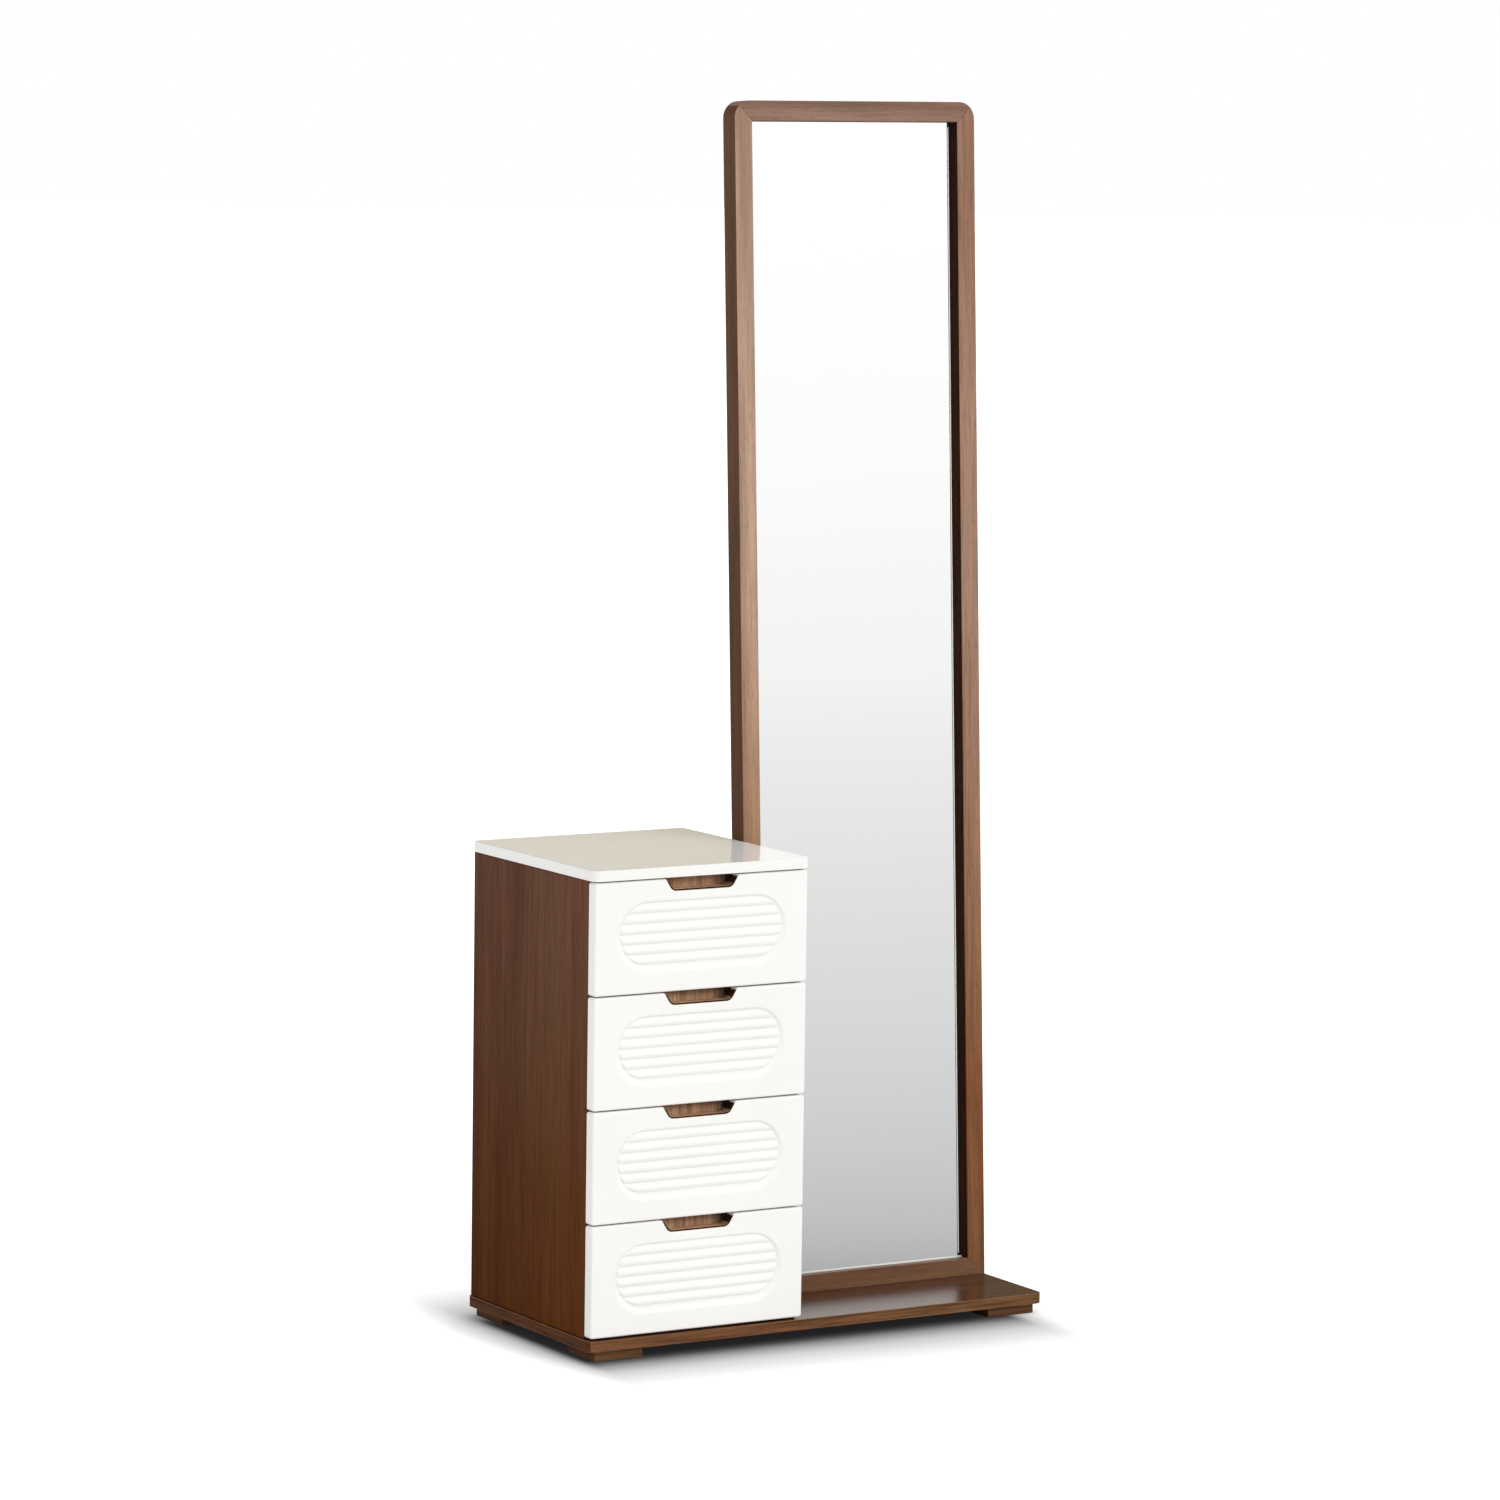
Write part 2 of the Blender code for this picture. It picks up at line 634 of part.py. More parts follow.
def build_mirror(finish):
    lean = empty("mirror_lean", (mirror_mid_x, mirror_foot_y, mirror_foot_z), -mirror_lean)
    for name, mesh in mirror_members().items():
        place(name, mesh, finish["walnut"], parent=lean, smooth=True)
    half = mirror_w / 2 - frame_face + rebate_w - glass_play
    low_z = frame_foot_face - rebate_w + glass_play
    high_z = mirror_h - frame_face + rebate_w - glass_play
    glass_y = frame_lip + seat_gap
    back_y = glass_y + glass_t + seat_gap
    glass = block((-half, glass_y, low_z), (half, glass_y + glass_t, high_z), "mirror_glass")
    place("mirror_glass", glass, finish["silvered_glass"], parent=lean)
    backing = block((-half, back_y, low_z), (half, back_y + mirror_back_t, high_z), "mirror_backing")
    place("mirror_backing", backing, finish["hardboard"], parent=lean)
    for word, z in (("lower", spacer_low_z), ("upper", spacer_high_z)):
        y = mirror_foot_y + (z - mirror_foot_z) * math.tan(mirror_lean) + frame_d / 2
        spacer = disc(cabinet_right_x + seat_gap, mirror_left_x - seat_gap, y, z, spacer_r, roller_steps, "spacer")
        place("mirror_spacer_" + word, spacer, finish["spacer_plastic"], smooth=True)


def main():
    clear_scene()
    finish = {name: make_finish(name) for name in finish_table}
    build_base(finish)
    build_cabinet(finish)
    build_drawers(finish)
    build_mirror(finish)


main()
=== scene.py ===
# %% [markdown]
# # A dressing unit with drawers and a leaning mirror
#
# The real thing is cabinet work: walnut-veneered boards, white lacquered drawer fronts with a routed
# panel, and a mitred frame round a tall mirror. The solids of every board come from the frame below, at
# their real size and place. This script gives them their looks: soft edges that catch light, grain that
# runs along each board, gloss that reflects the room, and the small hardware that a cabinet maker adds.

# %% Load the frame
import math

import bmesh
import bpy
from mathutils import Matrix, Vector
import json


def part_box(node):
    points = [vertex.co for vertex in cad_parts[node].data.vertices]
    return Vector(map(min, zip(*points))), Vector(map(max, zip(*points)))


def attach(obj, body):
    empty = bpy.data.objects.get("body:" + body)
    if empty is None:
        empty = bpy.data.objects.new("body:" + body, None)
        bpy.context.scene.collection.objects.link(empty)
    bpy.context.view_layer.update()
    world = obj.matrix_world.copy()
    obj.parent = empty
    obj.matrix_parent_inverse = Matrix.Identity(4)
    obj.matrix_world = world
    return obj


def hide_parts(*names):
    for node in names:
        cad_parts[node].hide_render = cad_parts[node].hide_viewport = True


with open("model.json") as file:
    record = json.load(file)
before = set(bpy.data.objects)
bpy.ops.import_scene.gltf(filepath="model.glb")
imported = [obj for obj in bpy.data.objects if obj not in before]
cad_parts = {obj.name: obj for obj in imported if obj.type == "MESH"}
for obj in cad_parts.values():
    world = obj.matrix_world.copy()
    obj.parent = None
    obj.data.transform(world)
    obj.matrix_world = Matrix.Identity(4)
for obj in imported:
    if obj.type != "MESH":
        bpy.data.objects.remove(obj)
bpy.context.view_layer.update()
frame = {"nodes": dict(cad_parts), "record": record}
bodies = frame["record"]["behaviour"]["bodies"]
body_of_node = {node: body for body, nodes in bodies.items() for node in nodes}

# %% [markdown]
# ## The camera
#
# The unit is seen from its left and from a little above, from far away, so the upright edges stay nearly
# parallel. Place and angles come from lining up the unit's known edges with the picture. The lens is long
# because the camera stands more than eight metres away.

# %% Set up the camera
camera_place = (-4.5644, -7.6700, 1.8878)
camera_yaw = math.radians(30.628)
camera_pitch = math.radians(-6.651)
camera_roll = math.radians(0.784)
lens_mm = 146.11
sensor_mm = 36.0

camera_data = bpy.data.cameras.new("camera")
camera_data.lens = lens_mm
camera_data.sensor_width = sensor_mm
camera_data.sensor_fit = "AUTO"
camera_data.clip_end = 200.0
camera = bpy.data.objects.new("camera", camera_data)
bpy.context.scene.collection.objects.link(camera)
turn = (Matrix.Rotation(-camera_yaw, 4, "Z") @ Matrix.Rotation(math.pi / 2 + camera_pitch, 4, "X")
        @ Matrix.Rotation(camera_roll, 4, "Z"))
camera.matrix_world = Matrix.Translation(camera_place) @ turn
bpy.context.scene.camera = camera
print("camera at", camera_place)

# %% [markdown]
# ## A short way to write materials
#
# A material is a small network of nodes. Writing each link in full would bury the idea, so two helpers do
# it: one adds a node with its settings, and one feeds the wood grain. Every pattern reads the Object
# coordinates, which are metres here, so a scale of 300 means about 300 streaks in a metre.

# %% Helpers for shader nodes
def add_node(tree, kind, inputs=None, **settings):
    """Add a shader node, set its options and fill or link its inputs."""
    made = tree.nodes.new(kind)
    for key, value in settings.items():
        setattr(made, key, value)
    for key, value in (inputs or {}).items():
        if isinstance(value, bpy.types.NodeSocket):
            tree.links.new(value, made.inputs[key])
        else:
            made.inputs[key].default_value = value
    return made


def new_material(name):
    """A material with an empty Principled BSDF; returns the material, its tree and its shader."""
    material = bpy.data.materials.new(name)
    material.use_nodes = True
    return material, material.node_tree, material.node_tree.nodes["Principled BSDF"]


def ramp(tree, factor, stops):
    """A colour ramp with the given (place, colour) stops."""
    made = add_node(tree, "ShaderNodeValToRGB", {"Fac": factor})
    elements = made.color_ramp.elements
    while len(elements) < len(stops):
        elements.new(0.5)
    for element, (place, colour) in zip(elements, stops):
        element.position = place
        element.color = (*colour, 1.0)
    return made.outputs["Color"]


def grey(level):
    """A neutral colour."""
    return (level, level, level)


def mix_colour(tree, factor, a, b, blend="MIX"):
    """Mix two colours."""
    made = add_node(tree, "ShaderNodeMix", data_type="RGBA", blend_type=blend, clamp_result=False)
    for socket, value in ((made.inputs[0], factor), (made.inputs[6], a), (made.inputs[7], b)):
        if isinstance(value, bpy.types.NodeSocket):
            tree.links.new(value, socket)
        elif isinstance(value, tuple):
            socket.default_value = (*value, 1.0)
        else:
            socket.default_value = value
    return made.outputs[2]


def stretched_noise(tree, place, along, across, grain, detail=3.0, roughness=0.55):
    """Noise that is long along the grain axis (0, 1 or 2) and fine across it, both in waves per metre."""
    scales = [across, across, across]
    scales[grain] = along
    scaled = add_node(tree, "ShaderNodeVectorMath", {0: place, 1: scales}, operation="MULTIPLY")
    made = add_node(tree, "ShaderNodeTexNoise", {"Vector": scaled.outputs[0], "Scale": 1.0, "Detail": detail,
                                                 "Roughness": roughness})
    return made.outputs["Fac"]


print("shader helpers:", [helper.__name__ for helper in (add_node, new_material, ramp, grey, mix_colour)])

# %% [markdown]
# ## Walnut veneer
#
# Real walnut veneer has four things at four scales: broad bands of warmer and cooler brown, a slow wave in
# the lines because the trunk was never straight, fine streaks a few millimetres apart, and short dark pores.
# Each one is a noise that is stretched along the grain. One function makes all the walnut, and each board
# asks for its own grain direction, so that a rail runs sideways while a stile runs upwards.

# %% Walnut
walnut_dark = (0.098, 0.043, 0.023)
walnut_mid = (0.150, 0.071, 0.041)
walnut_light = (0.205, 0.108, 0.066)
walnut_olive = (0.142, 0.082, 0.042)
band_middle = 0.52
band_reach = 0.22


def walnut(name, grain, tone=(1.0, 1.0, 1.0), gloss=0.38, shift=0.0, lean=0.0, contrast=1.0, shine=0.5,
           coat=0.0, figure=1.0, painted_washes=()):
    """Walnut with its grain along axis 0, 1 or 2. tone tints it, gloss is the roughness, shine the
    reflection's strength, contrast the strength of the streaks and figure that of the broad bands. Each
    painted wash is an axis and a list of (place, tint): painted light and shade that change the colour along
    that axis."""
    material, tree, shader = new_material(name)
    coords = add_node(tree, "ShaderNodeTexCoord")
    moved = add_node(tree, "ShaderNodeMapping", {"Vector": coords.outputs["Object"],
                                                 "Location": (shift, shift * 1.7, shift * 0.6),
                                                 "Rotation": (lean, 0.0, 0.0)})
    place = moved.outputs["Vector"]
    wave = add_node(tree, "ShaderNodeTexNoise", {"Vector": place, "Scale": 2.2, "Detail": 1.0})
    sway = add_node(tree, "ShaderNodeVectorMath", {0: wave.outputs["Color"], 1: (0.5, 0.5, 0.5)},
                    operation="SUBTRACT")
    swayed = add_node(tree, "ShaderNodeVectorMath", {0: sway.outputs[0], 1: (0.012, 0.012, 0.012), 2: place},
                      operation="MULTIPLY_ADD")
    line = swayed.outputs[0]
    bands = stretched_noise(tree, line, 1.1, 26.0, grain)
    tint = stretched_noise(tree, line, 0.7, 15.0, grain, detail=1.0)
    streaks = stretched_noise(tree, line, 7.0, 230.0, grain, detail=4.0, roughness=0.65)
    pores = stretched_noise(tree, line, 60.0, 1500.0, grain, detail=1.0)
    reach = band_reach / figure
    body = ramp(tree, bands, [(max(band_middle - reach, 0.0), walnut_dark), (band_middle, walnut_mid),
                              (min(band_middle + reach, 1.0), walnut_light)])
    warm = add_node(tree, "ShaderNodeMapRange", {"Value": tint, "From Min": 0.42, "From Max": 0.62,
                                                 "To Min": 0.0, "To Max": 0.55})
    body = mix_colour(tree, warm.outputs[0], body, walnut_olive)
    streak_tone = ramp(tree, streaks, [(0.30, grey(1.0 - 0.34 * contrast)), (0.55, grey(1.0)),
                                       (0.75, grey(1.0 + 0.22 * contrast))])
    body = mix_colour(tree, 1.0, body, streak_tone, "MULTIPLY")
    pore_tone = ramp(tree, pores, [(0.30, grey(0.66)), (0.42, grey(1.0))])
    body = mix_colour(tree, 1.0, body, pore_tone, "MULTIPLY")
    body = mix_colour(tree, 1.0, body, tone, "MULTIPLY")
    split = add_node(tree, "ShaderNodeSeparateXYZ", {0: coords.outputs["Object"]})
    for axis, wash in painted_washes:
        first, last = wash[0][0], wash[-1][0]
        level = add_node(tree, "ShaderNodeMapRange", {"Value": split.outputs[axis], "From Min": first,
                                                      "From Max": last})
        stops = [((where - first) / (last - first), tint) for where, tint in wash]
        body = mix_colour(tree, 1.0, body, ramp(tree, level.outputs[0], stops), "MULTIPLY")
    tree.links.new(body, shader.inputs["Base Color"])
    shader.inputs["Specular IOR Level"].default_value = shine
    shader.inputs["Coat Weight"].default_value = coat
    shader.inputs["Coat Roughness"].default_value = gloss
    sheen = add_node(tree, "ShaderNodeMapRange", {"Value": streaks, "From Min": 0.3, "From Max": 0.7,
                                                  "To Min": gloss * 1.15, "To Max": gloss * 0.88})
    tree.links.new(sheen.outputs[0], shader.inputs["Roughness"])
    bump = add_node(tree, "ShaderNodeBump", {"Height": pore_tone, "Strength": 0.18, "Distance": 0.0002})
    tree.links.new(bump.outputs["Normal"], shader.inputs["Normal"])
    return material


grain_x, grain_y, grain_z = 0, 1, 2
print("walnut colours:", walnut_dark, walnut_mid, walnut_light, walnut_olive)

# %% [markdown]
# The side panels get painted shade that makes them darker and redder towards the floor, and painted light
# that makes them brighter towards the front and darker towards the back, so two washes run over them: one
# upwards and one from front to back. The base has a shiny top, edge strips that are cut along their length
# and painted lighter on the front and back than on the ends, as lit and shaded copies, and a painted
# highlight: a lighter line where its edges are eased.

# %% Walnut of the cabinet and the base
# Painted shade: darker and redder towards the floor.
panel_painted_shade = [(0.03, (0.75, 0.49, 0.08)), (0.23, (0.75, 0.55, 0.18)), (0.40, (0.85, 0.78, 0.54)),
              (0.68, grey(1.0))]
# Painted light: brighter towards the front, darker towards the back.
panel_painted_light = [(-0.165, grey(1.20)), (-0.09, grey(1.14)), (0.02, grey(1.0)), (0.18, grey(0.92))]

panel_walnut = walnut("walnut_panel", grain_z, tone=(0.85, 0.71, 0.71), gloss=0.50, shine=0.04,
                      contrast=0.8, figure=0.6, painted_washes=((2, panel_painted_shade), (1, panel_painted_light)))
base_walnut = walnut("walnut_base_top", grain_x, tone=(0.56, 0.38, 0.24), gloss=0.24, shift=3.1, shine=0.3,
                     coat=0.25)
# Front and back strips painted lighter, end strips darker: lit and shaded copies of one walnut, as painted
# light and shade.
band_walnut_lit_long = walnut("walnut_band_long", grain_x, tone=(1.29, 1.14, 0.86), gloss=0.45, shift=5.3,
                       contrast=1.9, shine=0.1)
band_walnut_shaded_short = walnut("walnut_band_short", grain_y, tone=(0.55, 0.39, 0.20), gloss=0.45, shift=6.1,
                       contrast=1.9, shine=0.1)
# Eased edges painted lighter: a painted highlight.
arris_highlight_walnut = walnut("walnut_arris", grain_x, tone=(1.70, 1.50, 1.15), gloss=0.40, shift=5.9, shine=0.2)
foot_walnut = walnut("walnut_feet", grain_x, tone=(0.92, 0.82, 0.62), gloss=0.45, shift=8.3, contrast=1.9,
                     shine=0.1)
print("cabinet and base walnuts:", panel_walnut.name, base_walnut.name, foot_walnut.name)

# %% [markdown]
# The mirror's frame is paler than the cabinet. Painted shade makes it redder and darker towards its foot, and
# painted light keeps it brightest between about one and one and a half metres up. Its outer sides and the
# edges round the glass get darker copies of the walnut as painted shade. Its two stiles are cut from
# different boards, so each has its own tone. The grain of a stile leans back with the mirror.

# %% Walnut of the mirror
mirror_lean = math.radians(2.87)
# Painted light and shade on the stiles: darker and redder towards the foot, brightest at mid height.
near_stile_painted_light = [(0.03, (0.60, 0.45, 0.30)), (0.75, (0.82, 0.72, 0.61)), (1.15, grey(1.0)), (1.45, grey(1.0)),
             (1.60, grey(0.94))]
far_stile_painted_light = [(0.03, (0.50, 0.36, 0.17)), (0.30, (0.55, 0.34, 0.16)), (0.60, (0.76, 0.68, 0.49)),
            (1.05, grey(1.0)), (1.35, grey(1.0)), (1.60, (0.77, 0.72, 0.64))]
stile_side_painted_shade = [(0.75, (0.72, 0.60, 0.45)), (1.00, (0.85, 0.75, 0.65)), (1.30, grey(1.0))]

stile_walnut = walnut("walnut_stile", grain_z, tone=(2.89, 3.91, 4.75), gloss=0.38, shift=1.9,
                      lean=mirror_lean, contrast=0.6, coat=0.1, shine=0.15, painted_washes=((2, near_stile_painted_light),))
far_stile_walnut = walnut("walnut_far_stile", grain_z, tone=(2.59, 2.86, 3.57), gloss=0.38, shift=7.4,
                          lean=mirror_lean, contrast=0.9, coat=0.1, shine=0.15, painted_washes=((2, far_stile_painted_light),))
# Outer sides of the stiles painted darker: painted shade.
shaded_stile_side_walnut = walnut("walnut_stile_side", grain_z, tone=(0.80, 0.71, 0.61), gloss=0.42, shift=2.2,
                           lean=mirror_lean, contrast=0.8, shine=0.1, painted_washes=((2, stile_side_painted_shade),))
rail_walnut = walnut("walnut_top_rail", grain_x, tone=(1.67, 1.93, 2.34), gloss=0.38, shift=2.7,
                     contrast=0.6, coat=0.1, shine=0.15)
# Bottom rail painted darker and redder than the top rail: painted shade towards the foot.
low_rail_walnut = walnut("walnut_bottom_rail", grain_x, tone=(1.27, 1.19, 1.07), gloss=0.38, shift=3.7,
                         contrast=0.8, coat=0.1, shine=0.15)
# Edges round the glass painted dark: painted shade.
shaded_inner_walnut = walnut("walnut_inner_edge", grain_z, tone=(0.22, 0.15, 0.08), gloss=0.50, shift=2.9,
                      shine=0.02)
print("mirror walnuts:", stile_walnut.name, far_stile_walnut.name, rail_walnut.name)

# %% [markdown]
# The finger pockets are lined with unstained walnut, and it is painted much lighter still, as painted light
# against the shade deep in the pocket. A painted shade runs across and darkens both ends, the right end most,
# and the pocket's side walls and rim get a dark walnut as painted shade.

# %% Walnut of the finger pockets
cabinet_mid_x = -0.2085
# Painted shade across the pocket: darker at both ends, darkest at the right end.
pull_shade_stops = [(-0.060, 0.80), (-0.045, 1.0), (0.0, 0.85), (0.034, 0.80), (0.046, 0.50), (0.060, 0.08)]
pull_painted_shade = [(cabinet_mid_x + across, grey(level)) for across, level in pull_shade_stops]

# Painted much lighter than walnut, as painted light against the pocket's shade.
pull_walnut_painted_light = walnut("walnut_pull", grain_z, tone=(4.9, 5.9, 6.1), gloss=0.45, shift=4.2, contrast=1.7,
                     shine=0.1, figure=0.4, painted_washes=((0, pull_painted_shade),))
# Dark walnut for the pocket's side walls and rim: painted shade.
pull_walnut_painted_shade = walnut("walnut_pull_side", grain_z, tone=(0.22, 0.18, 0.14), gloss=0.50, shift=4.9,
                          shine=0.05)
print("walnut finishes:", len([m for m in bpy.data.materials if m.name.startswith("walnut")]))

# %% [markdown]
# ## White lacquer
#
# The fronts and the top are sprayed with a glossy lacquer that is not quite neutral: a little yellow keeps
# it from looking like plastic. A sprayed surface is never perfectly flat. A very weak, slow bump gives the
# orange-peel that bends reflections slightly, and a clear coat on top gives the strong shine at low angles.

# %% Lacquer
lacquer_white = (0.880, 0.872, 0.840)
lacquer_shade = (0.865, 0.856, 0.822)
cloud_scale = 9.0
peel_scale = 260.0


def lacquer(name, roughness, coat):
    """Sprayed white lacquer."""
    material, tree, shader = new_material(name)
    coords = add_node(tree, "ShaderNodeTexCoord")
    place = coords.outputs["Object"]
    cloud = add_node(tree, "ShaderNodeTexNoise", {"Vector": place, "Scale": cloud_scale, "Detail": 2.0})
    colour = ramp(tree, cloud.outputs["Fac"], [(0.35, lacquer_shade), (0.65, lacquer_white)])
    tree.links.new(colour, shader.inputs["Base Color"])
    peel = add_node(tree, "ShaderNodeTexNoise", {"Vector": place, "Scale": peel_scale, "Detail": 1.0})
    bump = add_node(tree, "ShaderNodeBump", {"Height": peel.outputs["Fac"], "Strength": 0.04,
                                             "Distance": 0.0003})
    tree.links.new(bump.outputs["Normal"], shader.inputs["Normal"])
    shader.inputs["Roughness"].default_value = roughness
    shader.inputs["Coat Weight"].default_value = coat
    shader.inputs["Coat Roughness"].default_value = roughness * 0.3
    return material


front_lacquer = lacquer("lacquer_fronts", 0.34, 0.35)
slab_lacquer = lacquer("lacquer_top", 0.12, 0.1)
print("lacquers:", front_lacquer.name, slab_lacquer.name)

# %% [markdown]
# ## The plain materials
#
# Inside a cabinet the boards are cheaper: a pale foil on the drawer boxes and brown hardboard at the back,
# whose pressed fibres show as fine specks. The runners are steel with a white powder coat, their rollers are
# nylon, and the mirror is silvered glass. Each still gets a pattern, because no real surface is one colour.

# %% Plain materials
def speckled(name, dark, light, scale, roughness, metallic=0.0, bump_height=0.0001, stretch=(1.0, 1.0, 1.0)):
    """A material with fine noise in its colour, roughness and surface."""
    material, tree, shader = new_material(name)
    coords = add_node(tree, "ShaderNodeTexCoord")
    moved = add_node(tree, "ShaderNodeMapping", {"Vector": coords.outputs["Object"], "Scale": stretch})
    noise = add_node(tree, "ShaderNodeTexNoise", {"Vector": moved.outputs["Vector"], "Scale": scale,
                                                  "Detail": 5.0, "Roughness": 0.6})
    colour = ramp(tree, noise.outputs["Fac"], [(0.35, dark), (0.65, light)])
    tree.links.new(colour, shader.inputs["Base Color"])
    rough = add_node(tree, "ShaderNodeMapRange", {"Value": noise.outputs["Fac"], "To Min": roughness * 0.85,
                                                  "To Max": roughness * 1.15})
    tree.links.new(rough.outputs[0], shader.inputs["Roughness"])
    bump = add_node(tree, "ShaderNodeBump", {"Height": noise.outputs["Fac"], "Strength": 0.25,
                                             "Distance": bump_height})
    tree.links.new(bump.outputs["Normal"], shader.inputs["Normal"])
    shader.inputs["Metallic"].default_value = metallic
    return material


box_foil = speckled("box_foil", (0.60, 0.53, 0.43), (0.68, 0.62, 0.52), 60.0, 0.50, stretch=(1.0, 0.08, 1.0))
hardboard = speckled("hardboard", (0.20, 0.115, 0.065), (0.30, 0.185, 0.11), 900.0, 0.75)
powder_coat = speckled("powder_coat", (0.72, 0.72, 0.70), (0.80, 0.80, 0.78), 1400.0, 0.38)
nylon = speckled("nylon", (0.70, 0.69, 0.64), (0.80, 0.79, 0.75), 300.0, 0.45)
# A matt pale strip: a painted highlight along the glass's edges.
glass_edge_highlight = speckled("glass_edge_painted_highlight", (0.88, 0.90, 0.86), (0.95, 0.96, 0.93), 700.0, 0.30)
spacer_black = speckled("spacer_black", grey(0.018), grey(0.035), 500.0, 0.50)
zinc = speckled("zinc", (0.52, 0.53, 0.55), (0.66, 0.67, 0.69), 800.0, 0.30, metallic=1.0)
glass_silver = speckled("silvered_glass", (0.975, 0.982, 0.980), (0.980, 0.987, 0.985), 3.0, 0.006,
                        metallic=1.0, bump_height=0.0)
print("materials:", len(bpy.data.materials))

# %% [markdown]
# ## From a CAD solid to a finished board
#
# The CAD solids arrive as loose triangles that are shaded flat. A copy is merged into one skin, the flat
# faces are made whole again, and where a width is given its sharp edges are eased by a Bevel modifier, so
# that the light runs along them as on sanded wood. The Weighted Normal modifier keeps the big faces flat to
# the eye.

# %% Finish a copy of a CAD node
finished = {}
weld_dist = 0.00001
flat_angle = math.radians(0.4)


def skin_of(node):
    """A welded copy of a CAD node's mesh, with its flat faces made whole."""
    bm = bmesh.new()
    bm.from_mesh(frame["nodes"][node].data)
    bmesh.ops.remove_doubles(bm, verts=bm.verts, dist=weld_dist)
    bmesh.ops.dissolve_limit(bm, angle_limit=flat_angle, verts=bm.verts, edges=bm.edges)
    bm.normal_update()
    return bm


def add_piece(name, bm, body, materials, sharp=math.radians(32)):
    """Make a piece of the object from a bmesh and let it ride on a body."""
    mesh = bpy.data.meshes.new(name)
    bm.to_mesh(mesh)
    bm.free()
    for material in materials:
        mesh.materials.append(material)
    mesh.shade_smooth()
    mesh.set_sharp_from_angle(angle=sharp)
    piece = bpy.data.objects.new(name, mesh)
    bpy.context.scene.collection.objects.link(piece)
    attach(piece, body)
    return piece


def soften(piece, width, steps=2):
    """Ease the sharp edges when a width is given, and keep the flat faces flat."""
    if width:
        bevel = piece.modifiers.new("eased_edges", "BEVEL")
        bevel.width = width
        bevel.segments = steps
        bevel.limit_method = "ANGLE"
        bevel.angle_limit = math.radians(40)
        bevel.harden_normals = False
    normals = piece.modifiers.new("flat_faces", "WEIGHTED_NORMAL")
    normals.keep_sharp = True
    normals.weight = 60


def dress(node, materials, width=0.0, pick=None):
    """Replace a CAD node by its finished copy. pick(face) chooses the material's index."""
    bm = skin_of(node)
    for face in bm.faces:
        face.material_index = pick(face) if pick else 0
    piece = add_piece(node + "_finish", bm, body_of_node[node], materials)
    soften(piece, width)
    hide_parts(node)
    finished[node] = piece
    return piece


print("nodes to dress:", len(body_of_node))

# %% [markdown]
# ## The base board and its feet
#
# The base carries everything, so its top is the surface that shows most shine; it is darker than the edge
# strips.
# It is veneered on the flat and edged with a strip on its four sides. The strips are cut along their length,
# so on each side the lines run along that side, and the material is chosen by the direction that a face
# looks. The front and back strips are painted lighter and the end strips darker, lit and shaded copies of one
# walnut as painted light and shade, and the eased edges get a painted highlight.

# %% Base board and feet
eased_from, eased_to = 0.25, 0.96


def by_side(face):
    """0 for a face that looks up or down, 1 for front and back, 2 for the two ends, 3 for an eased edge."""
    upward = abs(face.normal.z)
    if eased_from < upward < eased_to:
        return 3
    if upward >= eased_to:
        return 0
    return 1 if abs(face.normal.y) > abs(face.normal.x) else 2


dress("base_board", [base_walnut, band_walnut_lit_long, band_walnut_shaded_short, arris_highlight_walnut], pick=by_side)
# The feet's ends get the painted-shade end walnut.
foot_walnuts = [base_walnut, foot_walnut, band_walnut_shaded_short, foot_walnut]
for end in ("front", "rear"):
    for side in ("left", "right"):
        dress(f"foot_{end}_{side}", foot_walnuts, pick=by_side)
print("base and feet:", len(finished))

# %% [markdown]
# ## The cabinet's shell
#
# Two upright panels, a thin back and a lacquered top. The grain of the panels runs upwards, as a maker lays
# it, because a tall side looks calmer that way.

# %% Cabinet shell
for side in ("left", "right"):
    dress("side_panel_" + side, [panel_walnut])
dress("back_panel", [hardboard], width=0.0004)
dress("top_slab", [slab_lacquer])
print("shell done:", len(finished))

# %% [markdown]
# ## The routed drawer front
#
# This is the piece that gives the unit its face. On the real one a router follows a stadium-shaped outline
# and leaves a row of laps, like the slats of a blind: each lap slopes outwards, ends in a round nose and
# steps in again. Lacquer rounds every edge. Booleans would give hard edges, so the front's face is a grid
# instead. Its lines are packed where the form is, and each point moves in by a depth that one function
# gives. The sides are then pulled back into a board, its outline is rounded, and the notch is cut last.

# %% Sizes of the drawer front, read from the frame
front_low, front_high = (Vector(corner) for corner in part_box("drawer_1_front"))
front_w = front_high.x - front_low.x
front_t = front_high.y - front_low.y
front_h = front_high.z - front_low.z
front_mid_x = (front_high.x + front_low.x) / 2
lap_count = 6
lap_pitch = 0.0149
lap_top = front_h - 0.033
lap_foot = lap_top - lap_count * lap_pitch
lap_w = 0.266
lap_depth = 0.0034
lap_nose_depth = 0.0008
lap_nose_share = 0.40
dish_w = 0.284
dish_depth = 0.0032
dish_wall_w = 0.0052
dish_top = lap_top + 0.0034
dish_foot = lap_foot - 0.0130
dish_foot_wall = 0.011
step_w = 0.0026
print("drawer front:", round(front_w, 4), round(front_t, 4), round(front_h, 4))

# %% [markdown]
# The router's path is written as one function of the place on the face. A stadium's distance tells how far
# a point is from the rounded end, and a soft step turns that into the dished border. Inside the border the
# depth follows the laps: a long slope outwards, then a quarter-round nose that falls in steeply.

# %% How deep the router went at each point
def stadium_distance(x, z, width, low, high):
    """Distance from the outline of a stadium: positive inside it."""
    radius = (high - low) / 2
    straight = width / 2 - radius
    return radius - math.hypot(max(abs(x) - straight, 0.0), z - (high + low) / 2)


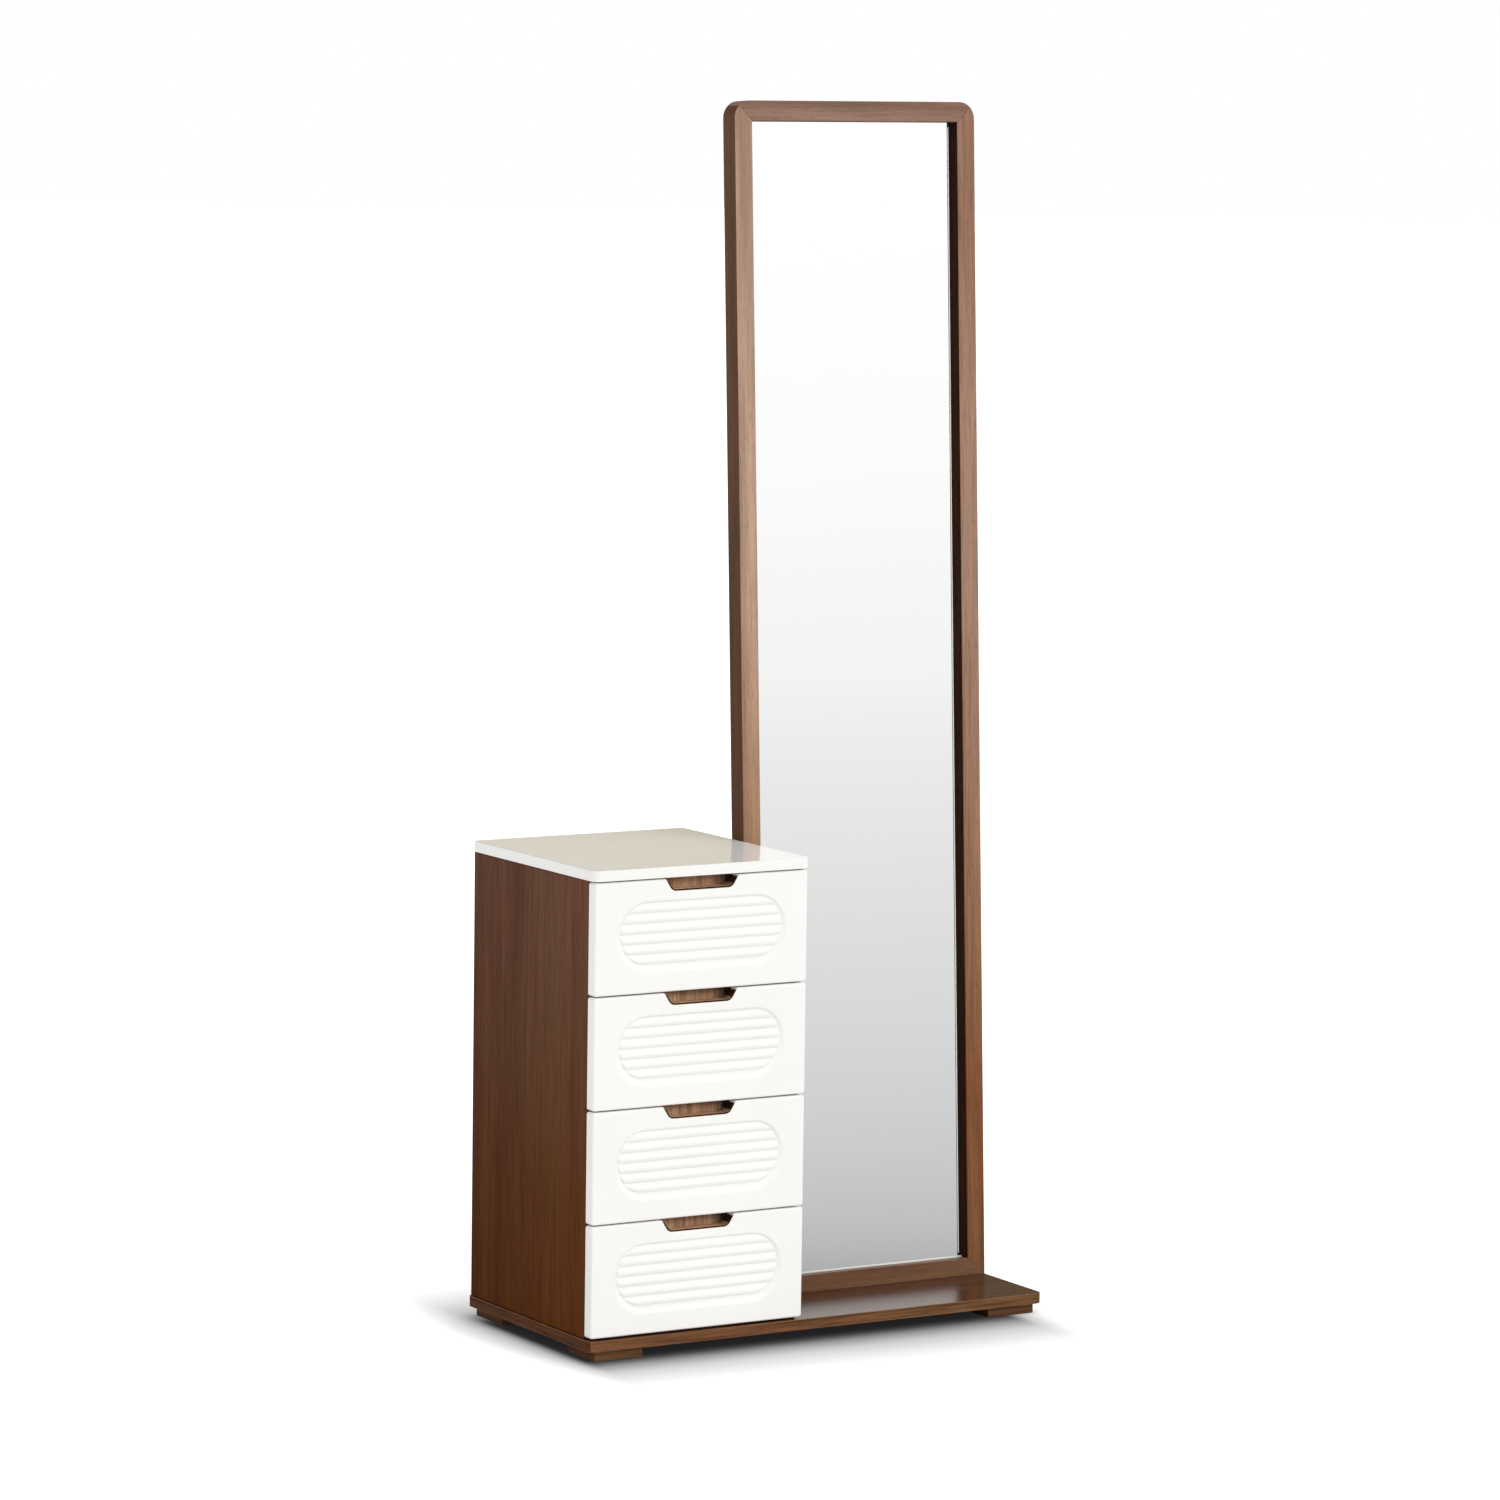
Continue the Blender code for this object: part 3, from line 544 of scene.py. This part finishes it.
def smooth(value):
    """A soft step from 0 to 1."""
    value = min(max(value, 0.0), 1.0)
    return value * value * (3 - 2 * value)


def lap_relief(z):
    """Depth of the laps at a height: out along the slope, then round the nose and in again."""
    share = ((lap_top - z) % lap_pitch) / lap_pitch
    slope_share = 1.0 - lap_nose_share
    if share < slope_share:
        return lap_depth + (lap_nose_depth - lap_depth) * smooth(share / slope_share)
    return lap_nose_depth + (lap_depth - lap_nose_depth) * ((share - slope_share) / lap_nose_share) ** 2.4


def front_relief(x, z):
    """Depth of the whole panel: the laps inside, and the dished border around them."""
    to_dish = stadium_distance(x, z, dish_w, dish_foot, dish_top)
    if to_dish <= 0.0:
        return 0.0
    to_laps = stadium_distance(x, z, lap_w, lap_foot, lap_top)
    wall = max(min(to_dish - to_laps, dish_foot_wall), dish_wall_w)
    border = dish_depth * smooth(to_dish / wall)
    inside = smooth((to_laps + step_w / 2) / step_w)
    return border + (lap_relief(z) - border) * inside


print("depth in the middle:", round(front_relief(0.0, (lap_top + lap_foot) / 2), 5))

# %% [markdown]
# The grid needs many lines where the laps and the round ends are, and few elsewhere. Its lines are spread
# over a few stretches, each with its own spacing, and the grid's points are moved onto those lines.

# %% Build the face as a grid and pull it into a board
def spread(stops):
    """Places of the grid lines: stops are (place, spacing up to the next place)."""
    lines = []
    for (start, spacing), (end, _) in zip(stops, stops[1:]):
        count = max(round((end - start) / spacing), 1)
        lines += [start + (end - start) * k / count for k in range(count)]
    return lines + [stops[-1][0]]


coarse = 0.006
fine_x = 0.0009
fine_z = 0.0005
bend_x = lap_w / 2 - (lap_top - lap_foot) / 2 - 0.004
grid_margin = 0.001
rim_x = dish_w / 2 + grid_margin
columns = spread([(-front_w / 2, coarse), (-rim_x, fine_x), (-bend_x, coarse), (bend_x, fine_x),
                  (rim_x, coarse), (front_w / 2, coarse)])
rows = spread([(0.0, coarse), (dish_foot - grid_margin, fine_z), (dish_top + grid_margin, coarse),
               (front_h, coarse)])


def routed_board():
    """The front as a board with its routed face, still with square edges; Y = 0 is its back."""
    bm = bmesh.new()
    bmesh.ops.create_grid(bm, x_segments=len(columns) - 1, y_segments=len(rows) - 1, size=0.5)
    for vert in bm.verts:
        x = columns[round((vert.co.x + 0.5) * (len(columns) - 1))]
        z = rows[round((vert.co.y + 0.5) * (len(rows) - 1))]
        vert.co = (x, front_relief(x, z) - front_t, z)
    rim = [edge for edge in bm.edges if edge.is_boundary]
    pulled = bmesh.ops.extrude_edge_only(bm, edges=rim)["geom"]
    for vert in pulled:
        if isinstance(vert, bmesh.types.BMVert):
            vert.co.y = 0.0
    back_rim = [edge for edge in bm.edges if edge.is_boundary]
    bmesh.ops.contextual_create(bm, geom=back_rim)
    bmesh.ops.recalc_face_normals(bm, faces=bm.faces)
    return bm


print("grid lines:", len(columns), "by", len(rows))

# %% [markdown]
# The outline is rounded by keeping only what lies inside a second, rounded board, and the notch is a cutter
# whose mouth flares out, so that its front edge comes out rounded as well.

# %% Round the outline and cut the notch
corner_r = 0.004
edge_r = 0.0030
round_steps = 6
notch_top_w = 0.121
notch_foot_w = 0.099
notch_h = 0.018
notch_r = 0.012
notch_steps = 12
notch_edge_r = 0.0012
overrun = 0.004


def edges_along_y(bm):
    """The edges that run from front to back."""
    return [e for e in bm.edges if abs((e.verts[1].co - e.verts[0].co).normalized().y) > 0.9]


def round_edges(bm, edges, radius, steps):
    """Round some edges of a piece."""
    bmesh.ops.bevel(bm, geom=edges, offset=radius, segments=steps, profile=0.5, affect="EDGES",
                    clamp_overlap=True, material=-1)


def rounded_blank():
    """A board of the front's size, with round corners and round front edges."""
    bm = bmesh.new()
    bmesh.ops.create_cube(bm, size=1.0)
    bmesh.ops.scale(bm, vec=(front_w, front_t, front_h), verts=bm.verts)
    bmesh.ops.translate(bm, vec=(0.0, -front_t / 2, front_h / 2), verts=bm.verts)
    round_edges(bm, edges_along_y(bm), corner_r, round_steps)
    rim = [e for e in bm.edges if all(v.co.y < -front_t / 2 for v in e.verts)]
    round_edges(bm, rim, edge_r, round_steps)
    return bm


def notch_points(grow):
    """The notch's outline, open at the top, with round lower corners; grow widens it."""
    foot = front_h - notch_h - grow
    slope = (notch_top_w - notch_foot_w) / 2 / notch_h
    foot_x = notch_foot_w / 2 + grow
    top = front_h + overrun
    swing = math.pi / 2 - math.atan(slope)
    radius = notch_r + grow
    centre_x = foot_x - radius * math.tan(swing / 2)
    angles = [swing * k / notch_steps for k in range(notch_steps + 1)]
    right = [(centre_x + radius * math.sin(a), foot + radius * (1 - math.cos(a))) for a in angles]
    top_x = foot_x + slope * (top - foot)
    return [(-x, z) for x, z in reversed(right)] + right + [(top_x, top), (-top_x, top)]


def notch_cutter():
    """A cutter through the board whose mouth flares to a rounded edge."""
    stations = [(-front_t - overrun, notch_edge_r + overrun)]
    stations += [(-front_t + notch_edge_r * (1 - math.cos(a)), notch_edge_r * (1 - math.sin(a)))
                 for a in (math.pi / 2 * k / 4 for k in range(5))]
    stations += [(overrun, 0.0)]
    bm = bmesh.new()
    rings = []
    for y, grow in stations:
        verts = [bm.verts.new((x, y, z)) for x, z in notch_points(grow)]
        rings.append([bm.edges.new(pair) for pair in zip(verts, verts[1:] + verts[:1])])
    for near, far in zip(rings, rings[1:]):
        bmesh.ops.bridge_loops(bm, edges=near + far)
    for cap in (rings[0], rings[-1]):
        bmesh.ops.contextual_create(bm, geom=cap)
    bmesh.ops.recalc_face_normals(bm, faces=bm.faces)
    return bm


def carve(bm, tools):
    """Apply Boolean steps, given as (bmesh, operation), and return the result as a bmesh."""
    def stand_in(name, source):
        mesh = bpy.data.meshes.new(name)
        source.to_mesh(mesh)
        source.free()
        made = bpy.data.objects.new(name, mesh)
        bpy.context.scene.collection.objects.link(made)
        return made

    blank = stand_in("blank", bm)
    helpers = [stand_in("tool", tool) for tool, _ in tools]
    for helper, (_, operation) in zip(helpers, tools):
        step = blank.modifiers.new(operation, "BOOLEAN")
        step.operation = operation
        step.object = helper
        step.solver = "EXACT"
    evaluated = blank.evaluated_get(bpy.context.evaluated_depsgraph_get())
    result = bmesh.new()
    result.from_mesh(evaluated.to_mesh())
    evaluated.to_mesh_clear()
    for thing in [blank] + helpers:
        bpy.data.objects.remove(thing, do_unlink=True)
    return result


front_skin = carve(routed_board(), [(rounded_blank(), "INTERSECT"), (notch_cutter(), "DIFFERENCE")])
print("front faces:", len(front_skin.faces))

# %% [markdown]
# All four fronts are cut from one sheet with one jig, so they share one skin. It is moved to each drawer's
# place and rides on that drawer.

# %% Put a front on each drawer
for number in range(1, 5):
    node = f"drawer_{number}_front"
    low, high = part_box(node)
    copy = front_skin.copy()
    bmesh.ops.translate(copy, vec=(front_mid_x, high[1], low[2]), verts=copy.verts)
    piece = add_piece(node + "_finish", copy, body_of_node[node], [front_lacquer])
    soften(piece, 0.0)
    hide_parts(node)
    finished[node] = piece
front_skin.free()
print("fronts:", number)

# %% [markdown]
# ## Drawer boxes and runners
#
# Behind each front a box front of walnut holds the finger pocket, with its grain upright. The box itself is
# foil-covered board, and its bottom sits in grooves. The runners are pressed steel, so their rollers are
# picked out by their place: everything within a roller's radius of its axis is nylon.

# %% Boxes and runners
roller_r = 0.0081
roller_set = 0.010
roller_rise = 0.0095


def near_roller(axis_y, axis_z):
    """Chooses nylon for the faces of a roller."""
    def pick(face):
        middle = face.calc_center_median()
        return 1 if math.hypot(middle.y - axis_y, middle.z - axis_z) < roller_r else 0
    return pick


pocket_depth = 0.004


def pocket_face(face):
    """0 for the board, 1 for the back and the floor of the finger pocket, 2 for its rim and its ends."""
    middle = face.calc_center_median()
    if middle.y > front_high.y + pocket_depth * 3 or abs(middle.x - front_mid_x) > notch_top_w / 2:
        return 0
    if middle.y < front_low.y + pocket_depth:
        return 2
    return 2 if abs(face.normal.x) > 0.8 else 1


for number in range(1, 5):
    drawer = f"drawer_{number}"
    # The pocket's back gets the painted-light walnut, and its rim and ends the painted-shade walnut.
    dress(drawer + "_box_front", [panel_walnut, pull_walnut_painted_light, pull_walnut_painted_shade], pick=pocket_face)
    for word in ("side_left", "side_right", "back"):
        dress(f"{drawer}_{word}", [box_foil], width=0.0006)
    dress(drawer + "_bottom", [box_foil], width=0.0003)
    for side in ("left", "right"):
        glide, channel = f"{drawer}_glide_{side}", f"runner_{number}_{side}"
        low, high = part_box(glide)
        rear_roller = near_roller(high[1] - roller_set, low[2] + roller_rise)
        dress(glide, [powder_coat, nylon], pick=rear_roller)
        low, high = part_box(channel)
        front_roller = near_roller(low[1] + roller_set, low[2] + roller_rise)
        dress(channel, [powder_coat, nylon], pick=front_roller)
print("drawer pieces done:", len(finished))

# %% [markdown]
# ## The mirror
#
# Four mitred lengths of solid walnut, a sheet of silvered glass and a backing board. The frame leans back,
# so the grain of its stiles is turned by the same angle.

# %% Mirror frame and glass
glass_low, glass_high = (Vector(corner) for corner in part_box("mirror_glass"))
glass_middle = (glass_low + glass_high) / 2


def frame_face(face):
    """0 for the face of the frame, 1 for its outer sides and back, 2 for the edges round the glass."""
    if face.normal.y < -0.5:
        return 0
    outward = face.calc_center_median() - glass_middle
    across = face.normal.x * outward.x if abs(face.normal.x) > 0.5 else face.normal.z * outward.z
    return 2 if across < 0.0 and abs(face.normal.y) < 0.5 else 1


# Outer sides and edges round the glass get the painted-shade walnuts.
dress("mirror_stile_left", [stile_walnut, shaded_stile_side_walnut, shaded_inner_walnut], pick=frame_face)
dress("mirror_stile_right", [far_stile_walnut, shaded_stile_side_walnut, shaded_inner_walnut], pick=frame_face)
for word in ("rail_top", "rail_bottom"):
    face_walnut = rail_walnut if word == "rail_top" else low_rail_walnut
    # The bottom rail's inner edge looks up and keeps the rail's walnut instead of the painted-shade edge
    # walnut.
    edge_walnut = shaded_inner_walnut if word == "rail_top" else low_rail_walnut
    dress("mirror_" + word, [face_walnut, face_walnut, edge_walnut], pick=frame_face)
dress("mirror_backing", [hardboard], width=0.0004)
for word in ("lower", "upper"):
    dress("mirror_spacer_" + word, [spacer_black])
print("frame and backing:", len(finished))

# %% [markdown]
# Two painted highlights stand for the bright lines of light along the glass's edges: one along its foot and
# one along its two upright edges. Both are strips of a matt, pale finish, so they show as thin bright lines.
# Each is a ring that is inset from the glass's face, of which only some sides get the pale finish.

# %% Glass with its painted highlight lines
glass_under_lip = 0.007
glass_rings = [(0.0028, "foot"), (0.0036, "none"), (0.0018, "sides")]

glass_bm = skin_of("mirror_glass")
glass_face = min(glass_bm.faces, key=lambda face: face.normal.y)
bmesh.ops.inset_region(glass_bm, faces=[glass_face], thickness=glass_under_lip, use_even_offset=True)
highlight_strip_count = 0
# The strips marked here get the painted-highlight finish.
for ring_w, highlighted in glass_rings:
    ring = bmesh.ops.inset_region(glass_bm, faces=[glass_face], thickness=ring_w, use_even_offset=True)
    for face in ring["faces"]:
        offset = face.calc_center_median() - glass_middle
        upright = abs(offset.x) > abs(offset.z)
        if (highlighted == "foot" and not upright and offset.z < 0.0) or (highlighted == "sides" and upright):
            face.material_index = 1
            highlight_strip_count += 1
print("ground strips:", highlight_strip_count)
glass = add_piece("mirror_glass_finish", glass_bm, body_of_node["mirror_glass"],
                  [glass_silver, glass_edge_highlight])
soften(glass, 0.0)
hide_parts("mirror_glass")
finished["mirror_glass"] = glass
print("finished nodes:", len(finished), "of", len(body_of_node))

# %% [markdown]
# ## Screws
#
# Steel screws hold the runners and the white fronts. They are too small for the CAD model, but an open drawer
# shows them. A head is turned round, its rim is rolled over and a cross is pressed into it, so it is made
# the same way: a short cylinder, a bevelled rim and two slots taken out.

# %% Screw head
head_r = 0.0033
head_h = 0.0010
head_rim = 0.0007
small_steps = 4
cross_l = 0.0040
cross_w = 0.0009
cross_depth = 0.0006


def screw_head():
    """A flat pan head with a cross in it: it sits on Z = 0 and looks up."""
    bm = bmesh.new()
    bmesh.ops.create_cone(bm, cap_ends=True, segments=32, radius1=head_r, radius2=head_r, depth=head_h)
    bmesh.ops.translate(bm, vec=(0.0, 0.0, head_h / 2), verts=bm.verts)
    rim = [edge for edge in bm.edges if all(vert.co.z > head_h / 2 for vert in edge.verts)]
    round_edges(bm, rim, head_rim, small_steps)
    slots = []
    for angle in (0.0, math.pi / 2):
        slot = bmesh.new()
        bmesh.ops.create_cube(slot, size=1.0)
        bmesh.ops.scale(slot, vec=(cross_l, cross_w, cross_depth * 2), verts=slot.verts)
        bmesh.ops.rotate(slot, cent=(0.0, 0.0, 0.0), matrix=Matrix.Rotation(angle, 3, "Z"), verts=slot.verts)
        bmesh.ops.translate(slot, vec=(0.0, 0.0, head_h), verts=slot.verts)
        slots.append((slot, "DIFFERENCE"))
    return carve(bm, slots)


def set_copies(name, source, body, material, placings):
    """Put copies of a bmesh at the given matrices and join them into one piece."""
    pattern = bpy.data.meshes.new(name + "_pattern")
    source.to_mesh(pattern)
    group = bmesh.new()
    for placing in placings:
        group.from_mesh(pattern)
        group.verts.ensure_lookup_table()
        fresh = group.verts[-len(pattern.vertices):]
        bmesh.ops.transform(group, matrix=placing, verts=fresh)
    bpy.data.meshes.remove(pattern)
    piece = add_piece(name, group, body, [material])
    soften(piece, 0.0)
    return piece


def facing(place, direction):
    """A matrix that takes an upright screw to a place and lets it look in a direction."""
    return Matrix.Translation(place) @ Vector(direction).to_track_quat("Z", "Y").to_matrix().to_4x4()


head = screw_head()
print("faces of a screw head:", len(head.faces))

# %% [markdown]
# Each channel has three screws into the side panel and each glide three into the drawer's side. Four more go
# through the box front into the back of the white front, which lets a fitter line up the fronts.

# %% Set the screws
web_t = 0.0015
glide_face = 0.0115
glide_rise = 0.0095
box_screw_x = 0.09
box_screw_heights = (0.045, 0.100)
from_roller = 0.045
from_end = 0.030
screw_sets = 0

for number in range(1, 5):
    drawer = f"drawer_{number}"
    for side, inward in (("left", 1), ("right", -1)):
        low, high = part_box(f"runner_{number}_{side}")
        wall = low[0] if side == "left" else high[0]
        level = (low[2] + high[2]) / 2
        along = (low[1] + from_roller, (low[1] + high[1]) / 2, high[1] - from_end)
        set_copies(f"runner_{number}_{side}_screws", head, "cabinet", zinc,
                   [facing((wall + inward * web_t, y, level), (inward, 0, 0)) for y in along])
        low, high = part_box(f"{drawer}_glide_{side}")
        web_x = (high[0] if side == "left" else low[0]) - inward * glide_face
        along = (low[1] + from_end, (low[1] + high[1]) / 2, high[1] - from_roller)
        set_copies(f"{drawer}_glide_{side}_screws", head, drawer, zinc,
                   [facing((web_x, y, low[2] + glide_rise), (-inward, 0, 0)) for y in along])
        screw_sets += 2
    low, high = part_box(drawer + "_box_front")
    set_copies(drawer + "_front_screws", head, drawer, zinc,
               [facing((front_mid_x + x, high[1], low[2] + rise), (0, 1, 0))
                for x in (-box_screw_x, box_screw_x) for rise in box_screw_heights])
    screw_sets += 1
head.free()
print("screw sets:", screw_sets)

# %% [markdown]
# Behind the mirror the backing board is kept in its rebate by framer's points: thin steel tabs that are
# pushed into the wall of the rebate and lie flat on the board, one about every 20 centimetres.

# %% Framer's points
tab_size = (0.014, 0.0007, 0.008)
tab_corner = 0.002
tab_step = 0.20
tab_first = 0.14
tab_count = 8
mirror_foot = Vector((glass_middle.x, -0.028, 0.0313))
rebate_half = 0.186
backing_back = 0.0241

tab = bmesh.new()
bmesh.ops.create_cube(tab, size=1.0)
bmesh.ops.scale(tab, vec=tab_size, verts=tab.verts)
round_edges(tab, edges_along_y(tab), tab_corner, small_steps)
lean_back = Matrix.Translation(mirror_foot) @ Matrix.Rotation(-mirror_lean, 4, "X")
tab_rows = [tab_first + tab_step * k for k in range(tab_count)]
tab_places = [(side * (rebate_half - tab_size[0] / 2), backing_back + tab_size[1] / 2, row)
              for side in (-1, 1) for row in tab_rows]
set_copies("mirror_points", tab, "cabinet", zinc,
           [lean_back @ Matrix.Translation(place) for place in tab_places])
tab.free()
print("framer's points:", len(tab_places))

# %% [markdown]
# ## Floor, room and light
#
# The unit stands in a white studio. The floor is a real surface that takes the unit's shadow, and round the
# unit's footprint a painted shadow darkens its colour and its glow as well. To the camera, and in the mirror,
# it is as white as the room, while the light that it throws back on the unit is that of a plain grey floor.
# The room's light is even and a little stronger from above, and one broad lamp stands at the front right,
# high up, so that the fronts are the brightest faces.

# %% Floor
floor_reach = 60.0
floor_bm = bmesh.new()
bmesh.ops.create_circle(floor_bm, cap_ends=True, radius=floor_reach, segments=64)
floor_mesh = bpy.data.meshes.new("floor")
floor_bm.to_mesh(floor_mesh)
floor_bm.free()
floor = bpy.data.objects.new("floor", floor_mesh)
bpy.context.scene.collection.objects.link(floor)


def seen_directly(tree):
    """1 for rays from the camera and for rays that a mirror, gloss or glass sends on, else 0."""
    path = add_node(tree, "ShaderNodeLightPath")
    shiny = add_node(tree, "ShaderNodeMath", {0: path.outputs["Is Glossy Ray"],
                                              1: path.outputs["Is Transmission Ray"]}, operation="MAXIMUM")
    either = add_node(tree, "ShaderNodeMath", {0: path.outputs["Is Camera Ray"], 1: shiny.outputs[0]},
                      operation="MAXIMUM")
    return path, either.outputs[0]


floor_white = 0.93
floor_bounce = 0.85
floor_mirrored = 0.40
floor_lift = 0.45
side_reach = 0.0864
front_reach = 0.32
nearest_seen = 1.9
nearest_glow = 0.16
far_glow_step = 0.101
# Middle and half size of the painted shadow round the unit's footprint.
shade_middle = (-0.029, -0.029, 0.0)
shade_half = (0.354, 0.139, 0.0)

floor_material, tree, shader = new_material("floor_white")
path, seen = seen_directly(tree)
camera_ray = path.outputs["Is Camera Ray"]
spot = add_node(tree, "ShaderNodeTexCoord").outputs["Object"]
off_middle = add_node(tree, "ShaderNodeVectorMath", {0: spot, 1: shade_middle}, operation="SUBTRACT")
from_middle = add_node(tree, "ShaderNodeVectorMath", {0: off_middle.outputs[0]}, operation="ABSOLUTE")
past_edge = add_node(tree, "ShaderNodeVectorMath", {0: from_middle.outputs[0], 1: shade_half},
                     operation="SUBTRACT")
outside = add_node(tree, "ShaderNodeVectorMath", {0: past_edge.outputs[0], 1: (0.0, 0.0, 0.0)},
                   operation="MAXIMUM")
per_reach = (1 / side_reach, 1 / front_reach, 0.0)
scaled = add_node(tree, "ShaderNodeVectorMath", {0: outside.outputs[0], 1: per_reach}, operation="MULTIPLY")
clear = add_node(tree, "ShaderNodeVectorMath", {0: scaled.outputs[0]}, operation="LENGTH").outputs["Value"]
# Painted shadow: the floor's colour and glow darken near the footprint, reaching farthest in front and
# behind.
painted_floor_shadow = ramp(tree, clear, [(0.0, grey(0.03)), (0.06, grey(0.065)), (0.11, grey(0.15)),
                                (0.16, grey(0.26)), (0.30, grey(0.50)), (0.53, grey(0.70)), (1.0, grey(1.0))])
shown = mix_colour(tree, 1.0, painted_floor_shadow, grey(floor_white), "MULTIPLY")
unseen = mix_colour(tree, seen, grey(floor_bounce), grey(floor_mirrored))
tree.links.new(mix_colour(tree, camera_ray, unseen, shown), shader.inputs["Base Color"])
shader.inputs["Roughness"].default_value = 0.9
shader.inputs["Specular IOR Level"].default_value = 0.0
reach = add_node(tree, "ShaderNodeVectorMath", {0: spot}, operation="LENGTH").outputs["Value"]
ratio = add_node(tree, "ShaderNodeMath", {0: reach, 1: nearest_seen}, operation="DIVIDE").outputs[0]
logarithm = add_node(tree, "ShaderNodeMath", {0: ratio, 1: math.e}, operation="LOGARITHM").outputs[0]
mirror_glow = add_node(tree, "ShaderNodeMath", {0: logarithm, 1: far_glow_step, 2: nearest_glow},
                       operation="MULTIPLY_ADD", use_clamp=True).outputs[0]
lifted = mix_colour(tree, 1.0, painted_floor_shadow, grey(floor_lift), "MULTIPLY")
glow = mix_colour(tree, camera_ray, mirror_glow, lifted)
shown_glow = mix_colour(tree, seen, grey(0.0), glow)
tree.links.new(shown_glow, shader.inputs["Emission Color"])
shader.inputs["Emission Strength"].default_value = 1.0
floor_mesh.materials.append(floor_material)
print("floor radius:", floor_reach)

# %% [markdown]
# The world gives three answers. The camera sees pure white. Gloss and mirrors see the same white room, with a
# calm beige wall low down behind the unit, which is what colours its lacquered top. All other rays get the
# soft light of the room.

# %% World
beige = (0.52, 0.45, 0.28)
dark_wall = (0.03, 0.025, 0.02)
world = bpy.data.worlds.new("room")
bpy.context.scene.world = world
world.use_nodes = True
tree = world.node_tree
background = tree.nodes["Background"]
path, seen = seen_directly(tree)
coords = add_node(tree, "ShaderNodeTexCoord")
split = add_node(tree, "ShaderNodeSeparateXYZ", {0: coords.outputs["Generated"]})
height = split.outputs["Z"]
from_above = ramp(tree, height, [(0.0, grey(1.0)), (0.35, grey(0.98)), (1.0, grey(0.84))])
from_left = add_node(tree, "ShaderNodeMapRange", {"Value": split.outputs["X"], "From Min": -1.0,
                                                  "From Max": 0.0, "To Min": 1.10, "To Max": 1.0})
room_light = add_node(tree, "ShaderNodeVectorMath", {0: from_above, "Scale": from_left.outputs[0]},
                      operation="SCALE").outputs[0]
behind = add_node(tree, "ShaderNodeMapRange", {"Value": split.outputs["Y"], "From Min": 0.0, "From Max": 0.3})
wall = ramp(tree, height, [(0.0, beige), (0.15, beige), (0.18, dark_wall), (0.45, dark_wall),
                           (0.70, grey(1.0))])
low_sky = add_node(tree, "ShaderNodeMapRange", {"Value": height, "From Min": -0.02, "From Max": 0.08})
skyline = ramp(tree, low_sky.outputs[0], [(0.03, grey(0.91)), (0.2, grey(0.945)), (0.30, grey(0.975)),
                                          (0.80, grey(1.03))])
gloss_view = mix_colour(tree, behind.outputs[0], skyline, wall)
both = mix_colour(tree, seen, room_light, gloss_view)
tree.links.new(mix_colour(tree, path.outputs["Is Camera Ray"], both, grey(1.0)), background.inputs["Color"])
print("world:", world.name)

# %% [markdown]
# One lamp as wide as the sky behind a sheet of cloth: its rays come from the front right and from above,
# spread over thirty degrees, so every shadow on the fronts is soft. Gloss doesn't mirror it, as a
# photographer keeps the softbox out of the picture.

# %% Lamp
sun_from = Vector((0.38, -0.80, 0.46))
sun_strength = 0.80
sun_spread = math.radians(30)

sun_data = bpy.data.lights.new("softbox", "SUN")
sun_data.energy = sun_strength
sun_data.angle = sun_spread
sun = bpy.data.objects.new("softbox", sun_data)
sun.visible_glossy = False
sun.rotation_euler = sun_from.to_track_quat("Z", "Y").to_euler()
bpy.context.scene.collection.objects.link(sun)
print("lamp from", [round(value, 2) for value in sun_from])

# %% [markdown]
# ## Finish
#
# The view transform is Standard, so that a colour comes out as it is written.

# %% Finish
bpy.context.scene.view_settings.view_transform = "Standard"
